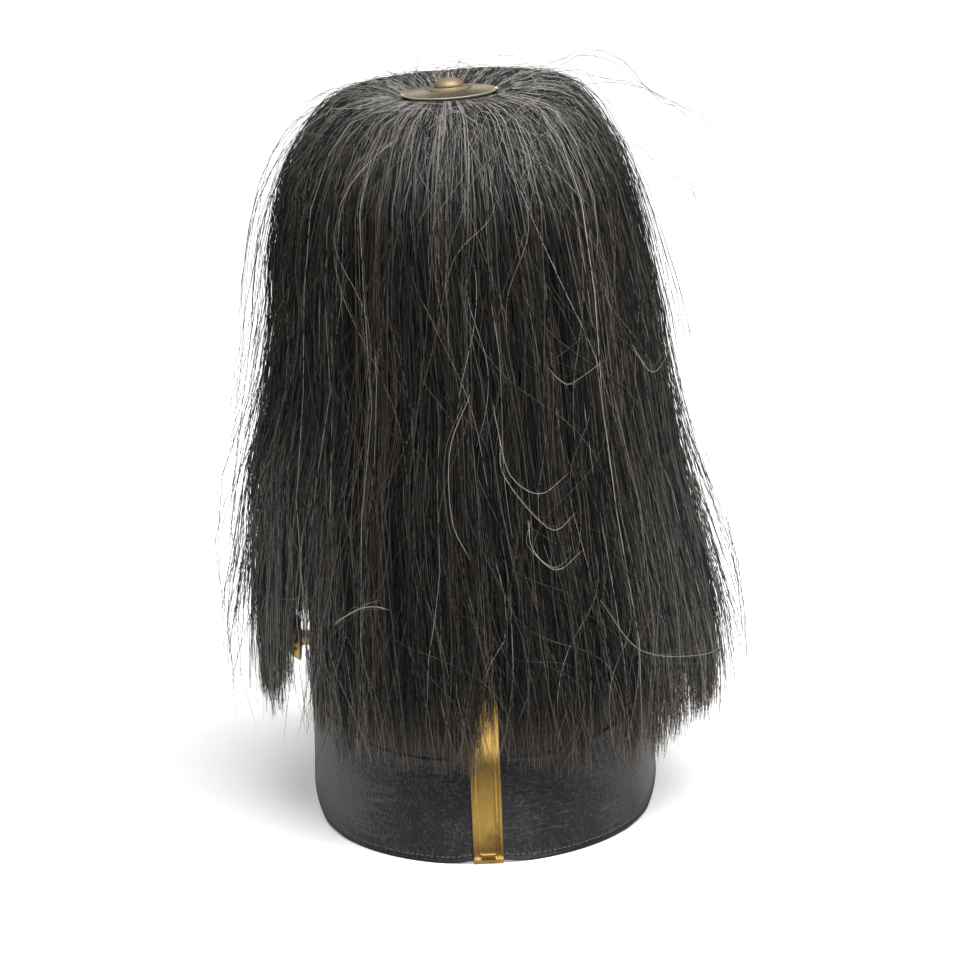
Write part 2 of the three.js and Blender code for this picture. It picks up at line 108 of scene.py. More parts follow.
# Outer form of the plume: radius, height, share of the holder's lean, sideways shift
PLUME = [
    (22.9, 380.8, 1, 0), (27, 383.2, 1, -0.2), (36, 388, 1, -0.6), (46, 390, 1, -1.2),
    (56, 388.4, 1, -1.6),
    (66, 382.6, 1, -1.6), (75, 371.4, 1, -0.8), (83, 356.5, 1, 0.4), (90, 340.5, 0.9, 1.2),
    (96.5, 317, 0.6, 2.4), (102, 290, 0.2, 2.9), (106.5, 262, 0, 1.7), (110.5, 232, 0, 1.8),
    (116, 204, 0, 2.6), (121.5, 178, 0, 2.2), (126, 150, 0, 0.8), (130, 122, 0, -0.8),
    (132.5, 95, 0, -2.6), (133, 66, 0, -3), (131, 36, 0, -2.6), (130, 26, 0, -2.5),
]

# How far the dense hair lies inside that form, by height, and how much more on the wearer's left
DENSE_INSET = [
    (60, 8.5), (103, 9), (158, 8.5), (213, 7.5), (268, 5), (300, 3.5), (330, 1.8), (385, 0.4),
]
LEFT_INSET = [
    (60, 2), (112, 2.5), (140, 4.5), (168, 2.5), (195, 1), (222, 3), (250, 3.5), (277, 5), (305, 1.5),
    (330, 0.5), (360, 0),
]

# How far the hair behind the cap lies below the form, by run along its curve
BACK_DROP = [
    (0, 0), (4.8, 0.1), (10, 2), (14.5, 4.7), (24.7, 7.4), (34.8, 7.6), (46.4, 6), (61, 3.5),
    (78, 1.5), (95, 0),
]

# Where the locks end: plan angle from the wearer's left, height of the lowest tip
LOCK_ENDS = [
    (0, 74), (8, 66), (16, 58), (21, 60), (25, 70), (28, 86), (31, 106), (34, 114), (37.5, 112),
    (41, 94), (43, 62), (45, 50), (50, 46), (60, 46), (67, 42), (74, 48), (79, 42), (85, 46),
    (88.5, 66), (91.5, 66), (95, 50),
    (100, 42), (106, 50), (112, 41), (118, 50), (124, 44), (131, 42), (138, 52), (145, 46), (152, 44),
    (160, 50), (168, 48), (176, 56), (184, 62), (198, 64), (216, 74), (234, 80), (252, 88), (270, 84),
    (288, 90), (306, 88), (324, 88), (338, 84), (350, 80),
]

# Camera: height above the horizon, roll, distance, point looked at, focal length
CAMERA = {
    "elevation": 13.0, "roll": 2.4, "distance": 2400.0, "aim": (-3.62, 0.0, 174.0), "lens": 167.9,
}

# Single curled hairs: depth (Y) of both ends, width, places in the picture
CURLS = [
    ((-20, -10), 0.30, [
        (575, 73), (606, 78), (642, 87), (664, 98), (693, 110), (707, 128), (710, 146), (707, 166),
        (695, 193), (666, 223),
    ]),
    ((-15, 5), 0.25, [(600, 100), (642, 104), (669, 112), (682, 150), (691, 184), (709, 244)]),
    ((0, 10), 0.25, [(590, 112), (624, 137), (664, 168), (695, 195), (729, 246)]),
    ((-40, -30), 0.25, [(560, 66), (585, 52), (606, 52), (628, 66), (646, 88), (662, 104)]),
    ((-45, -20), 0.25, [(540, 68), (575, 55), (612, 62), (650, 90), (690, 112), (704, 140)]),
    ((-30, 0), 0.22, [(586, 84), (630, 84), (676, 108), (697, 130), (700, 160), (690, 186)]),
    ((132, 136), 0.28, [(493, 405), (498, 430), (510, 475), (540, 494), (570, 472)]),
    ((134, 138), 0.25, [(500, 440), (505, 478), (550, 529), (577, 512)]),
    ((136, 140), 0.25, [(528, 520), (533, 550), (557, 570), (583, 550)]),
    ((118, 124), 0.25, [(548, 368), (560, 380), (572, 383), (605, 360)]),
    ((142, 146), 0.36, [(334, 625), (349, 614), (363, 608), (377, 607), (388, 610)]),
    ((84, 100), 0.30, [(393, 142), (378, 154), (356, 177), (340, 205)]),
    ((10, 30), 0.22, [(352, 90), (330, 92), (306, 101), (296, 118)]),
    ((0, 40), 0.22, [(340, 100), (318, 96), (300, 112), (292, 140)]),
    ((120, 128), 0.24, [(632, 345), (652, 372), (668, 352), (672, 322)]),
    ((138, 142), 0.24, [(600, 600), (640, 650), (700, 655), (735, 640)]),
    ((126, 132), 0.24, [(470, 395), (450, 450), (452, 520), (470, 560)]),
    ((10, 30), 0.24, [(700, 560), (733, 578), (750, 592), (740, 640)]),
    ((-20, -20), 0.24, [(416, 72), (419, 64), (424, 54)]),
    ((-25, -20), 0.22, [(430, 72), (445, 64), (458, 61), (470, 68)]),
    ((-25, -20), 0.22, [(455, 67), (462, 60), (472, 59), (484, 65)]),
    ((-30, -25), 0.22, [(478, 64), (494, 57), (510, 55), (524, 58)]),
    ((-10, 0), 0.24, [(404, 80), (394, 73), (382, 71), (370, 76)]),
]


# Shapes shared by several pieces


def whole_turn(count):
    """Plan angles once round, evenly spaced."""
    return np.linspace(0.0, TURN, count, endpoint=False)


def mix(a, b, share):
    return a + (b - a) * share


def table_at(rows, value):
    """The value between a table's rows of key and value."""
    keys = [row[0] for row in rows]
    return np.interp(value, keys, [row[1] for row in rows])


def smoothstep(value, low, high):
    t = np.clip((value - low) / (high - low), 0.0, 1.0)
    return t * t * (3.0 - 2.0 * t)


def super_point(width, length, power, angle):
    """A point of a rounded oblong; power 2 is an ellipse and more is squarer."""
    c, s = np.cos(angle), np.sin(angle)
    x = width * np.sign(c) * np.abs(c) ** (2.0 / power)
    y = length * np.sign(s) * np.abs(s) ** (2.0 / power)
    return x, y


def rim_height(angle):
    end = np.where(np.sin(angle) > 0, RIM_BACK, RIM_FRONT)
    return mix(RIM_SIDE, end, 1.0 - np.abs(np.cos(angle)) ** 3)


def skull_points(angle, climb, inset):
    """Points of the skull by plan angle, climb from the rim (0) to the crown (1) and inset."""
    top = CROWN - inset
    z = mix(rim_height(angle), top, climb)
    rise = np.maximum(0.0, (z - SHOULDER) / (top - SHOULDER))
    share = np.maximum(0.0, 1.0 - rise**DOME) ** (1.0 / DOME)
    x, y = super_point(HALF_WIDTH - inset, HALF_LENGTH - inset, SKULL_PLAN, angle)
    return np.stack([x * share, y * share, z + 0.0 * x], axis=-1)


def leaned(points):
    """The lean of the plume holder about the crown, towards the wearer's left."""
    x, y, z = points[..., 0], points[..., 1], points[..., 2]
    lx = x * math.cos(LEAN) + (z - CROWN) * math.sin(LEAN)
    lz = CROWN + (z - CROWN) * math.cos(LEAN) - x * math.sin(LEAN)
    return np.stack([lx, y, lz], axis=-1)


def plume_profile():
    """The plume's outer curve, evened out along its run: run, radius, height, lean, shift, normal."""
    rows = np.array(PLUME, float)
    steps = np.hypot(np.diff(rows[:, 0]), np.diff(rows[:, 1]))
    run = np.concatenate([[0.0], np.cumsum(steps)])
    fine = np.linspace(0.0, run[-1], 500)
    columns = [np.interp(fine, run, rows[:, k]) for k in range(4)]
    kernel = np.hanning(25)
    kernel /= kernel.sum()
    smooth = []
    for column in columns:
        before, after = 2 * column[0] - column[12:0:-1], 2 * column[-1] - column[-2:-14:-1]
        padded = np.concatenate([before, column, after])
        smooth.append(np.convolve(padded, kernel, "valid"))
    radius, height, lean, shift = smooth
    dr, dz = np.gradient(radius), np.gradient(height)
    length = np.hypot(dr, dz)
    return {
        "run": fine, "radius": radius, "height": height, "lean": lean, "shift": shift,
        "out": -dz / length, "up": dr / length,
    }


PROFILE = plume_profile()
RUN_END = float(PROFILE["run"][-1])


def radius_at(run):
    return np.interp(run, PROFILE["run"], PROFILE["radius"])


def fall_at(run):
    """Share of the plume's whole curve at that run."""
    return np.clip(run / RUN_END, 0.0, 1.0)


def run_at_height(height):
    """How far along the plume's curve that height is reached on the falling side."""
    falling = PROFILE["height"] < 386.0
    falling[:150] &= PROFILE["run"][:150] > 40.0
    h = PROFILE["height"][falling][::-1]
    r = PROFILE["run"][falling][::-1]
    return np.interp(height, h, r)


def on_plume(angle, run, lift):
    """Points on the plume at a plan angle, a run along its curve and a lift off it, in millimetres."""
    at = {key: np.interp(run, PROFILE["run"], PROFILE[key]) for key in PROFILE}
    lift = lift - table_at(BACK_DROP, run) * smoothstep(np.sin(angle), -0.25, 0.7)
    r = at["radius"] + lift * at["out"]
    z = at["height"] + lift * at["up"]
    depth = mix(1.03, 1.0, np.clip((z - 200.0) / 180.0, 0.0, 1.0))
    plain = np.stack([r * np.cos(angle), r * np.sin(angle) * depth, z], axis=-1)
    bent = leaned(plain)
    share = at["lean"][..., None]
    points = plain * (1.0 - share) + bent * share
    points[..., 0] += at["shift"]
    return points


def lock_end(angle):
    """Height at which the hair ends, by plan angle in radians."""
    degrees = np.degrees(angle) % 360.0
    keys = np.array([row[0] for row in LOCK_ENDS], float)
    ends = np.array([row[1] for row in LOCK_ENDS], float)
    keys = np.concatenate([[keys[-1] - 360.0], keys, [keys[0] + 360.0]])
    ends = np.concatenate([[ends[-1]], ends, [ends[0]]])
    return np.interp(degrees, keys, ends)


# Mesh making


def linked(name, data):
    """A new object in the scene."""
    thing = bpy.data.objects.new(name, data)
    bpy.context.scene.collection.objects.link(thing)
    return thing


def mesh_object(name, points, faces, sharp=40.0):
    """A smooth-shaded object from points in millimetres."""
    mesh = bpy.data.meshes.new(name)
    mesh.from_pydata((np.asarray(points, float) * MM).tolist(), [], faces)
    mesh.validate()
    mesh.shade_smooth()
    mesh.set_sharp_from_angle(angle=math.radians(sharp))
    return linked(name, mesh)


def loft(name, rings, looped=False, sharp=40.0):
    """A closed body through rings of equal count; open ends are closed by a fan."""
    rings = np.asarray(rings, float)
    rows, count = rings.shape[:2]
    points = rings.reshape(-1, 3)
    faces = []
    for r in range(rows if looped else rows - 1):
        n = (r + 1) % rows
        for k in range(count):
            m = (k + 1) % count
            faces.append((r * count + k, r * count + m, n * count + m, n * count + k))
    if not looped:
        points = np.concatenate([points, [rings[0].mean(axis=0), rings[-1].mean(axis=0)]])
        low, high = rows * count, rows * count + 1
        last = (rows - 1) * count
        for k in range(count):
            m = (k + 1) % count
            faces.append((low, m, k))
            faces.append((high, last + k, last + m))
    volume = 0.0
    for face in faces:
        a = points[face[0]]
        for i in range(1, len(face) - 1):
            volume += float(np.dot(a, np.cross(points[face[i]], points[face[i + 1]])))
    if volume < 0:
        faces = [tuple(reversed(face)) for face in faces]
    return mesh_object(name, points, faces, sharp)


def lathe(name, profile, segments, sharp=40.0):
    """A turned piece from (radius, height) rows that start and end on its axis."""
    turn = whole_turn(segments)
    rings = []
    for radius, height in profile[1:-1]:
        ring = np.stack([radius * np.cos(turn), radius * np.sin(turn), 0.0 * turn + height], axis=-1)
        rings.append(leaned(ring))
    return loft(name, rings, sharp=sharp)


def finish_piece(thing, nodes, material=None):
    """Gives the piece its finish and its body, and hides the solids that it stands for."""
    if material is not None:
        thing.data.materials.clear()
        thing.data.materials.append(material)
    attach(thing, "root")
    if nodes:
        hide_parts(*nodes)
    return thing


# Node trees


class Wire:
    """A socket's value that is worked on with Python's own signs."""

    def __init__(self, tree, socket):
        self.tree = tree
        self.socket = socket

    def maths(self, operation, first, second=None, clamp=False):
        inputs = {0: first}
        if second is not None:
            inputs[1] = second
        settings = {"operation": operation, "use_clamp": clamp}
        return self.tree.wire("ShaderNodeMath", settings, inputs)

    def __add__(self, other):
        return self.maths("ADD", self, other)

    def __radd__(self, other):
        return self.maths("ADD", other, self)

    def __sub__(self, other):
        return self.maths("SUBTRACT", self, other)

    def __rsub__(self, other):
        return self.maths("SUBTRACT", other, self)

    def __mul__(self, other):
        return self.maths("MULTIPLY", self, other)

    def __rmul__(self, other):
        return self.maths("MULTIPLY", other, self)

    def positive(self):
        return self.maths("ABSOLUTE", self)

    def clamped(self):
        return self.maths("ADD", self, 0.0, clamp=True)

    def step(self, low, high):
        """0 below low, 1 above high and smooth between."""
        settings = {"interpolation_type": "SMOOTHSTEP"}
        inputs = {"Value": self, "From Min": low, "From Max": high, "To Min": 0.0, "To Max": 1.0}
        return self.tree.wire("ShaderNodeMapRange", settings, inputs)


class Tree:
    """A node tree with one way to make a node: its type, its settings and its sockets' values."""

    def __init__(self, tree):
        self.tree = tree

    def add(self, kind, settings=None, inputs=None):
        node = self.tree.nodes.new(kind)
        for key, value in (settings or {}).items():
            if key == "stops":
                ramp = node.color_ramp
                while len(ramp.elements) < len(value):
                    ramp.elements.new(0.5)
                for element, (place, colour) in zip(ramp.elements, value):
                    element.position = place
                    element.color = (*colour, 1.0)
            else:
                setattr(node, key, value)
        for key, value in (inputs or {}).items():
            socket = node.inputs[key]
            if isinstance(value, Wire):
                value = value.socket
            if isinstance(value, bpy.types.NodeSocket):
                self.tree.links.new(value, socket)
            else:
                socket.default_value = value
        return node

    def wire(self, kind, settings=None, inputs=None, output=0):
        return Wire(self, self.add(kind, settings, inputs).outputs[output])

    def vectors(self, operation, *values, output=0):
        """Vector maths on two or three vectors."""
        inputs = dict(enumerate(values))
        return self.wire("ShaderNodeVectorMath", {"operation": operation}, inputs, output)


class Finish(Tree):
    """A material made of nodes on Object coordinates or on the piece's own map."""

    def __init__(self, name):
        self.material = bpy.data.materials.new(name)
        self.material.use_nodes = True
        super().__init__(self.material.node_tree)
        self.tree.nodes.clear()
        self.place = self.wire("ShaderNodeTexCoord", output="Object")

    def scaled(self, scale, turn=(0.0, 0.0, 0.0), place=None):
        inputs = {"Vector": place or self.place, "Scale": scale, "Rotation": turn}
        return self.wire("ShaderNodeMapping", None, inputs)

    def noise(self, scale, detail=3.0, place=None, rough=0.55):
        inputs = {"Vector": place or self.place, "Scale": scale, "Detail": detail, "Roughness": rough}
        return self.wire("ShaderNodeTexNoise", None, inputs)

    def cells(self, scale, feature="F1", place=None):
        inputs = {"Vector": place or self.place, "Scale": scale}
        return self.wire("ShaderNodeTexVoronoi", {"feature": feature}, inputs, "Distance")

    def blend(self, share, first, second):
        """Two colours, mixed by a share."""
        inputs = {0: share}
        for index, value in ((6, first), (7, second)):
            inputs[index] = value if isinstance(value, Wire) else (*value, 1.0)
        return self.wire("ShaderNodeMix", {"data_type": "RGBA"}, inputs, 2)

    def gap(self, point, place=None):
        """Distance from a point, in metres."""
        return self.vectors("DISTANCE", place or self.place, point, output="Value")

    def near(self, point, radius):
        """1 at a point of the object, 0 beyond the radius, both in millimetres."""
        gap = self.gap(tuple(v * MM for v in point))
        return 1.0 - gap.step(radius * MM * 0.2, radius * MM)

    def axis(self, index, place=None):
        return self.wire("ShaderNodeSeparateXYZ", None, {0: place or self.place}, index)

    def bump(self, height, depth):
        inputs = {"Height": height, "Distance": depth * MM, "Strength": 1.0}
        return self.wire("ShaderNodeBump", None, inputs)

    def surface(self, colour, roughness, normal=None, **others):
        inputs = {"Base Color": colour, "Roughness": roughness}
        if normal is not None:
            inputs["Normal"] = normal
        for key, value in others.items():
            inputs[key.replace("_", " ")] = value
        shader = self.wire("ShaderNodeBsdfPrincipled", None, inputs)
        self.add("ShaderNodeOutputMaterial", None, {"Surface": shader})
        return self.material


def made_once(maker):
    """One material of each name for the whole helmet."""

    def get(name, *values):
        if name in bpy.data.materials:
            return bpy.data.materials[name]
        return maker(name, *values)

    return get


@made_once
def leather_finish(name, settings):
    f = Finish(name)
    deep, worn_and_sheen = tuple(settings.deep), tuple(settings.worn_and_sheen)
    patches = f.noise(16.0, 4.0)
    mottled = f.noise(70.0, 5.0)
    grit = f.noise(560.0, 3.0, None, 0.7)
    grain = f.cells(700.0)
    fine = f.noise(1500.0, 2.0)
    inputs = {"Vector": f.place, "Scale": 160.0, "Detail": 3.0}
    shifts = f.wire("ShaderNodeTexNoise", None, inputs, "Color")
    warped = f.vectors("MULTIPLY_ADD", shifts, (0.005, 0.005, 0.005), f.place)
    cracks = 1.0 - f.cells(420.0, "DISTANCE_TO_EDGE", warped).step(0.0, 0.08)
    cracked = cracks * f.noise(26.0, 3.0).step(0.46, 0.62)
    folds = f.noise(1.0, 2.0, f.scaled((190.0, 190.0, 760.0), (0.0, 0.2, 0.0))).step(0.5, 0.66)
    folds = folds * (f.near((-27.0, 118.0, 22.0), 34.0) + f.near((14.0, 126.0, 22.0), 12.0)).clamped()
    upright = f.noise(1.0, 2.0, f.scaled((1000.0, 1000.0, 60.0))).step(0.45, 0.7)
    across = f.scaled((1300.0, 1300.0, 40.0), (0.0, 0.25, 0.0))
    along = f.scaled((40.0, 40.0, 1100.0), (0.0, 0.18, 0.0))
    rubbed = (f.near((64.0, 96.0, 20.0), 30.0) + f.near((-70.0, 94.0, 22.0), 26.0) * 0.6).clamped()
    hatch = f.noise(1.0, 1.0, across).step(0.58, 0.62) + f.noise(1.0, 1.0, along).step(0.57, 0.61)
    hatch = hatch * rubbed
    long_marks = f.noise(1.0, 2.0, f.scaled((14.0, 14.0, 900.0), (0.12, 0.0, 0.0))).step(0.6, 0.66)
    marks = (hatch * 0.7 + long_marks * patches.step(0.48, 0.62) * 0.4).clamped()
    low_edge = 1.0 - f.axis(2).step(0.4 * MM, 2.2 * MM)
    tone = patches.step(0.38, 0.72) * 0.12 + mottled.step(0.45, 0.8) * 0.2 + grit.step(0.5, 0.64) * 0.5
    # painted sheen: a lighter patch low on the rear visor, towards the wearer's left
    tone = tone + f.near((80.0, 66.0, 22.0), 46.0) * 0.5
    # the folds' share of the colour is a painted highlight along the creases
    colour = f.blend((tone + marks * 1.2 + folds * 0.65).clamped(), deep, worn_and_sheen)
    colour = f.blend(cracked * 0.6, colour, (0.003, 0.003, 0.004))
    colour = f.blend(low_edge * 0.7, colour, (0.009, 0.008, 0.007))
    rough = (settings.roughness + grit * 0.25 + marks * 0.12 - patches * 0.1 - folds * 0.08).clamped()
    height = grain * 0.3 + fine * 0.1 + grit * 1.0 - cracked * 0.3 + mottled * 0.6 + patches * 0.3
    height = height + folds * 0.75 + upright * 0.12 - marks * 0.12
    normal = f.bump(height, 1.0)
    gloss = {"Coat_Weight": 0.06, "Coat_Roughness": 0.3, "Specular_IOR_Level": 0.23}
    return f.surface(colour, rough, normal, **gloss)


@made_once
def gold_finish(name, settings):
    f = Finish(name)
    clouds = f.noise(45.0, 4.0)
    specks = f.noise(420.0, 3.0)
    drawn = f.noise(1.0, 2.0, f.scaled((2600.0, 500.0, 60.0)))
    stain = (f.near((-3.4, 124.0, 15.5), 7.5) * clouds.step(0.3, 0.6)).clamped()
    dots = f.noise(700.0, 2.0).step(0.7, 0.78)
    # painted shade: the brass darker towards the strip's lower end
    low = 1.0 - f.axis(2).step(2.0 * MM, 24.0 * MM)
    tone = clouds.step(0.35, 0.75) * 0.45 + specks.step(0.5, 0.8) * 0.25 + stain * 0.8 + dots * 0.5
    tone = (tone + low * 0.85).clamped()
    colour = f.blend(tone, tuple(settings.gold), tuple(settings.stain))
    rough = (settings.gold_roughness + clouds * 0.12 + stain * 0.25 + drawn * 0.08).clamped()
    normal = f.bump(drawn * 0.5 + specks * 0.3, 0.03)
    return f.surface(colour, rough, normal, Metallic=1.0)


@made_once
def aged_finish(name, settings, shine=0.0, painted_groove_shade=0.0):
    """Dull khaki brass; shine turns it golden brown as the knob, painted_groove_shade paints shade
    between the ribs and under the plate.
    """
    f = Finish(name)
    clouds = f.noise(90.0, 4.0)
    specks = f.noise(800.0, 3.0)
    tone = (clouds.step(0.3, 0.7) * 0.6 + specks.step(0.5, 0.75) * 0.4).clamped()
    colour = f.blend(tone, tuple(settings.aged), tuple(settings.tarnish))
    if shine > 0.0:
        colour = f.blend(clouds.step(0.3, 0.8) * 0.25 + shine, colour, tuple(settings.knob))
    else:
        flat = f.vectors("MULTIPLY", f.place, (1.0, 1.0, 0.0))
        out = f.gap((TOP_SHIFT * MM, 0.0, 0.0), flat)
        lip = out.step((CAP_RADIUS - 1.1) * MM, (CAP_RADIUS - 0.6) * MM)
        lip = lip * (1.0 - out.step(26.2 * MM, 26.8 * MM))
        # painted shade in the grooves between the ribs
        groove = out.step(12.2 * MM, 13.2 * MM) * (1.0 - out.step(23.4 * MM, 23.8 * MM))
        # painted shade on the underside of the cap's plate
        under = 1.0 - f.axis(2).step((CUP_TOP + JOIN) * MM, (CUP_TOP + JOIN + 0.4) * MM)
        shade = (groove * settings.groove_shade_strength + under).clamped() * painted_groove_shade
        colour = f.blend(shade, colour, (0.05, 0.04, 0.025))
        colour = f.blend(lip * 0.75, colour, tuple(settings.lip))
    rough = (settings.aged_roughness + clouds * 0.2 - specks * 0.05 + shine * 0.15).clamped()
    normal = f.bump(specks * 0.5 + clouds * 0.3, 0.05)
    return f.surface(colour, rough, normal, Metallic=0.7 - shine * 0.3)


# Hair colours by tone
HAIR_TONES = [
    (0.0, (0.0022, 0.0040, 0.0060)),
    (0.25, (0.0045, 0.0055, 0.0066)),
    (0.42, (0.0180, 0.0140, 0.0105)),
    (0.54, (0.0270, 0.0250, 0.0225)),
    (0.66, (0.0640, 0.0490, 0.0350)),
    (0.76, (0.0950, 0.0880, 0.0770)),
    (0.88, (0.1700, 0.1450, 0.1120)),
    (1.0, (0.3600, 0.3400, 0.3000)),
]


@made_once
def hair_finish(name, settings):
    """Hair by its own map: across is the strand's tone, up is how far along it is."""
    f = Finish(name)
    own = f.wire("ShaderNodeUVMap", {"uv_map": "OFBake"})
    tone = f.axis(0, own)
    along = f.axis(1, own)
    colour = f.wire("ShaderNodeValToRGB", {"stops": HAIR_TONES}, {0: tone})
    # dusty grey and painted sheen: paler strands near the top, strongest in the middle of the back
    dust_and_sheen = (1.0 - along.step(0.12, 0.3)) * (tone.step(0.26, 0.8) * 0.96 + 0.03)
    aside = (f.axis(0) + DUST_AND_SHEEN_MIDDLE * MM).positive()
    dust_and_sheen = dust_and_sheen * (1.0 - aside.step(25.0 * MM, 78.0 * MM) * 0.62)
    # painted sheen: paler strands towards both sides of the plume, lower down
    side_sheen = aside.step(55.0 * MM, 110.0 * MM) * along.step(0.4, 0.75) * tone.step(0.1, 0.6) * 0.28
    colour = f.blend(dust_and_sheen + side_sheen, colour, tuple(settings.dust_and_sheen))
    tips = along.step(0.84, 0.97) * (tone.step(0.1, 0.65) * 0.9 + 0.1)
    colour = f.blend(tips * settings.bleach, colour, tuple(settings.tip))
    rough = settings.roughness + 0.2 - tone * 0.25
    return f.surface(colour, rough, None, Specular_IOR_Level=0.19)


@made_once
def under_finish(name):
    """The dense hair under the strands: fine streaks down the fall."""
    f = Finish(name)
    own = f.wire("ShaderNodeUVMap", {"uv_map": "OFBake"})
    streaks = f.noise(1.0, 4.0, f.scaled((420.0, 5.0, 1.0), place=own), 0.6)
    bands = f.noise(1.0, 2.0, f.scaled((60.0, 2.0, 1.0), place=own))
    colour = f.blend(streaks.step(0.4, 0.8), (0.0015, 0.0018, 0.0023), (0.006, 0.005, 0.0045))
    colour = f.blend(bands.step(0.35, 0.7) * 0.4, colour, (0.0015, 0.002, 0.003))
    normal = f.bump(streaks, 0.8)
    return f.surface(colour, 0.6, normal, Specular_IOR_Level=0.08)


@made_once
def thread_finish(name, settings):
    f = Finish(name)
    dirt = f.noise(260.0, 3.0)
    colour = f.blend(dirt.step(0.35, 0.7), tuple(settings.thread), (0.10, 0.085, 0.065))
    return f.surface(colour, 0.8, f.bump(f.noise(2600.0, 2.0), 0.05))


@made_once
def floor_finish(name, settings):
    f = Finish(name)
    shade = f.noise(3.0, 2.0)
    colour = f.blend(shade * 0.3, tuple(settings.floor), tuple(0.985 * v for v in settings.floor))
    # painted shadow: the floor glows less near a spot beside the helmet, towards the wearer's left
    away = f.gap((0.12, 0.04, 0.0)).step(0.15, 0.8)
    white = f.blend(away, (0.42, 0.42, 0.42), (1.0, 1.0, 1.0))
    glow = {"Emission_Color": white, "Emission_Strength": settings.floor_glow}
    return f.surface(colour, 0.7, None, Specular_IOR_Level=0.1, **glow)


# Geometry Nodes


NUMBER = "NodeSocketFloat"
COUNT = "NodeSocketInt"
MATERIAL = "NodeSocketMaterial"


def node_group(name, inputs):
    """An empty geometry tree with named inputs, with its input node and its output node."""
    group = bpy.data.node_groups.new(name, "GeometryNodeTree")
    group.interface.new_socket("Geometry", in_out="INPUT", socket_type="NodeSocketGeometry")
    for label, kind, default in inputs:
        socket = group.interface.new_socket(label, in_out="INPUT", socket_type=kind)
        if default is not None:
            socket.default_value = default
    group.interface.new_socket("Geometry", in_out="OUTPUT", socket_type="NodeSocketGeometry")
    tree = Tree(group)
    return tree, tree.add("NodeGroupInput"), tree.add("NodeGroupOutput")


def grown(thing, group, values):
    """Runs a geometry tree on an object and keeps the result as a plain mesh."""
    modifier = thing.modifiers.new("Grow", "NODES")
    modifier.node_group = group
    for item in group.interface.items_tree:
        if item.in_out == "INPUT" and item.name in values:
            modifier[item.identifier] = values[item.name]
    bpy.context.view_layer.update()
    depsgraph = bpy.context.evaluated_depsgraph_get()
    mesh = bpy.data.meshes.new_from_object(thing.evaluated_get(depsgraph), depsgraph=depsgraph)
    thing.modifiers.remove(modifier)
    old = thing.data
    thing.data = mesh
    mesh.name = thing.name
    bpy.data.meshes.remove(old)
    return thing


def finish_tree(tree, given, result, geometry):
    """Ends a tree: makes its instances real and gives them the material."""
    real = tree.wire("GeometryNodeRealizeInstances", None, {0: geometry})
    inputs = {"Geometry": real, "Material": given.outputs["Material"]}
    painted = tree.add("GeometryNodeSetMaterial", None, inputs)
    tree.tree.links.new(painted.outputs[0], result.inputs[0])
    return tree.tree


def scattered(tree, given, points, piece, turned, sides):
    """A copy of the piece at each point, turned, and scaled by three of the tree's inputs."""
    sizes = {index: given.outputs[side] for index, side in enumerate(sides)}
    scale = tree.wire("ShaderNodeCombineXYZ", None, sizes)
    inputs = {"Points": points, "Instance": piece, "Rotation": turned, "Scale": scale}
    return tree.wire("GeometryNodeInstanceOnPoints", None, inputs)


def named(tree, name):
    """A number that the mesh carries at its points."""
    return tree.wire("GeometryNodeInputNamedAttribute", {"data_type": "FLOAT"}, {"Name": name})


def strand_tree():
    """Sweeps each line of the mesh as a thin closed strand and gives it its map."""
    inputs = [
        ("Sides", COUNT, 3),
        ("Thickness", NUMBER, 1.0),
        ("Material", MATERIAL, None),
    ]
    tree, given, result = node_group("Strands", inputs)
    line = tree.wire("GeometryNodeMeshToCurve", None, {0: given.outputs["Geometry"]})
    thick_inputs = {0: named(tree, "thick"), 1: given.outputs["Thickness"]}
    thick = tree.wire("ShaderNodeMath", {"operation": "MULTIPLY"}, thick_inputs)
    ring_inputs = {"Resolution": given.outputs["Sides"], "Radius": 1.0}
    ring = tree.wire("GeometryNodeCurvePrimitiveCircle", {"mode": "RADIUS"}, ring_inputs)
    tube_inputs = {"Curve": line, "Profile Curve": ring, "Scale": thick, "Fill Caps": True}
    tube = tree.wire("GeometryNodeCurveToMesh", None, tube_inputs)
    pair_inputs = {0: named(tree, "tone"), 1: named(tree, "along")}
    pair = tree.wire("ShaderNodeCombineXYZ", None, pair_inputs)
    kind = {"data_type": "FLOAT2", "domain": "CORNER"}
    stored = {"Geometry": tube, "Name": "OFBake", "Value": pair}
    mapped = tree.wire("GeometryNodeStoreNamedAttribute", kind, stored)
    for name in ("thick", "tone", "along"):
        mapped = tree.wire("GeometryNodeRemoveAttribute", None, {"Geometry": mapped, "Name": name})
    return finish_tree(tree, given, result, mapped)


def stitch_tree():
    """Lays small rounded stitches end to end along a line."""
    inputs = [
        ("Pitch", NUMBER, 0.003),
        ("Length", NUMBER, 0.0021),
        ("Width", NUMBER, 0.0006),
        ("Seed", COUNT, 3),
        ("Material", MATERIAL, None),
    ]
    tree, given, result = node_group("Stitches", inputs)
    line = tree.wire("GeometryNodeMeshToCurve", None, {0: given.outputs["Geometry"]})
    even_inputs = {"Curve": line, "Length": given.outputs["Pitch"]}
    even = tree.wire("GeometryNodeResampleCurve", {"mode": "LENGTH"}, even_inputs)
    tangent = tree.wire("GeometryNodeInputTangent")
    low, high = (-0.12, -0.12, -0.12), (0.12, 0.12, 0.12)
    wobble_inputs = {"Min": low, "Max": high, "Seed": given.outputs["Seed"]}
    wobble = tree.wire("FunctionNodeRandomValue", {"data_type": "FLOAT_VECTOR"}, wobble_inputs)
    way = tree.vectors("ADD", tangent, wobble)
    turned = tree.wire("FunctionNodeAlignRotationToVector", {"axis": "X"}, {"Vector": way})
    ball = tree.wire("GeometryNodeMeshUVSphere", None, {"Segments": 6, "Rings": 5, "Radius": 0.5})
    bead = tree.wire("GeometryNodeSetShadeSmooth", None, {0: ball})
    placed = scattered(tree, given, even, bead, turned, ("Length", "Width", "Width"))
    return finish_tree(tree, given, result, placed)


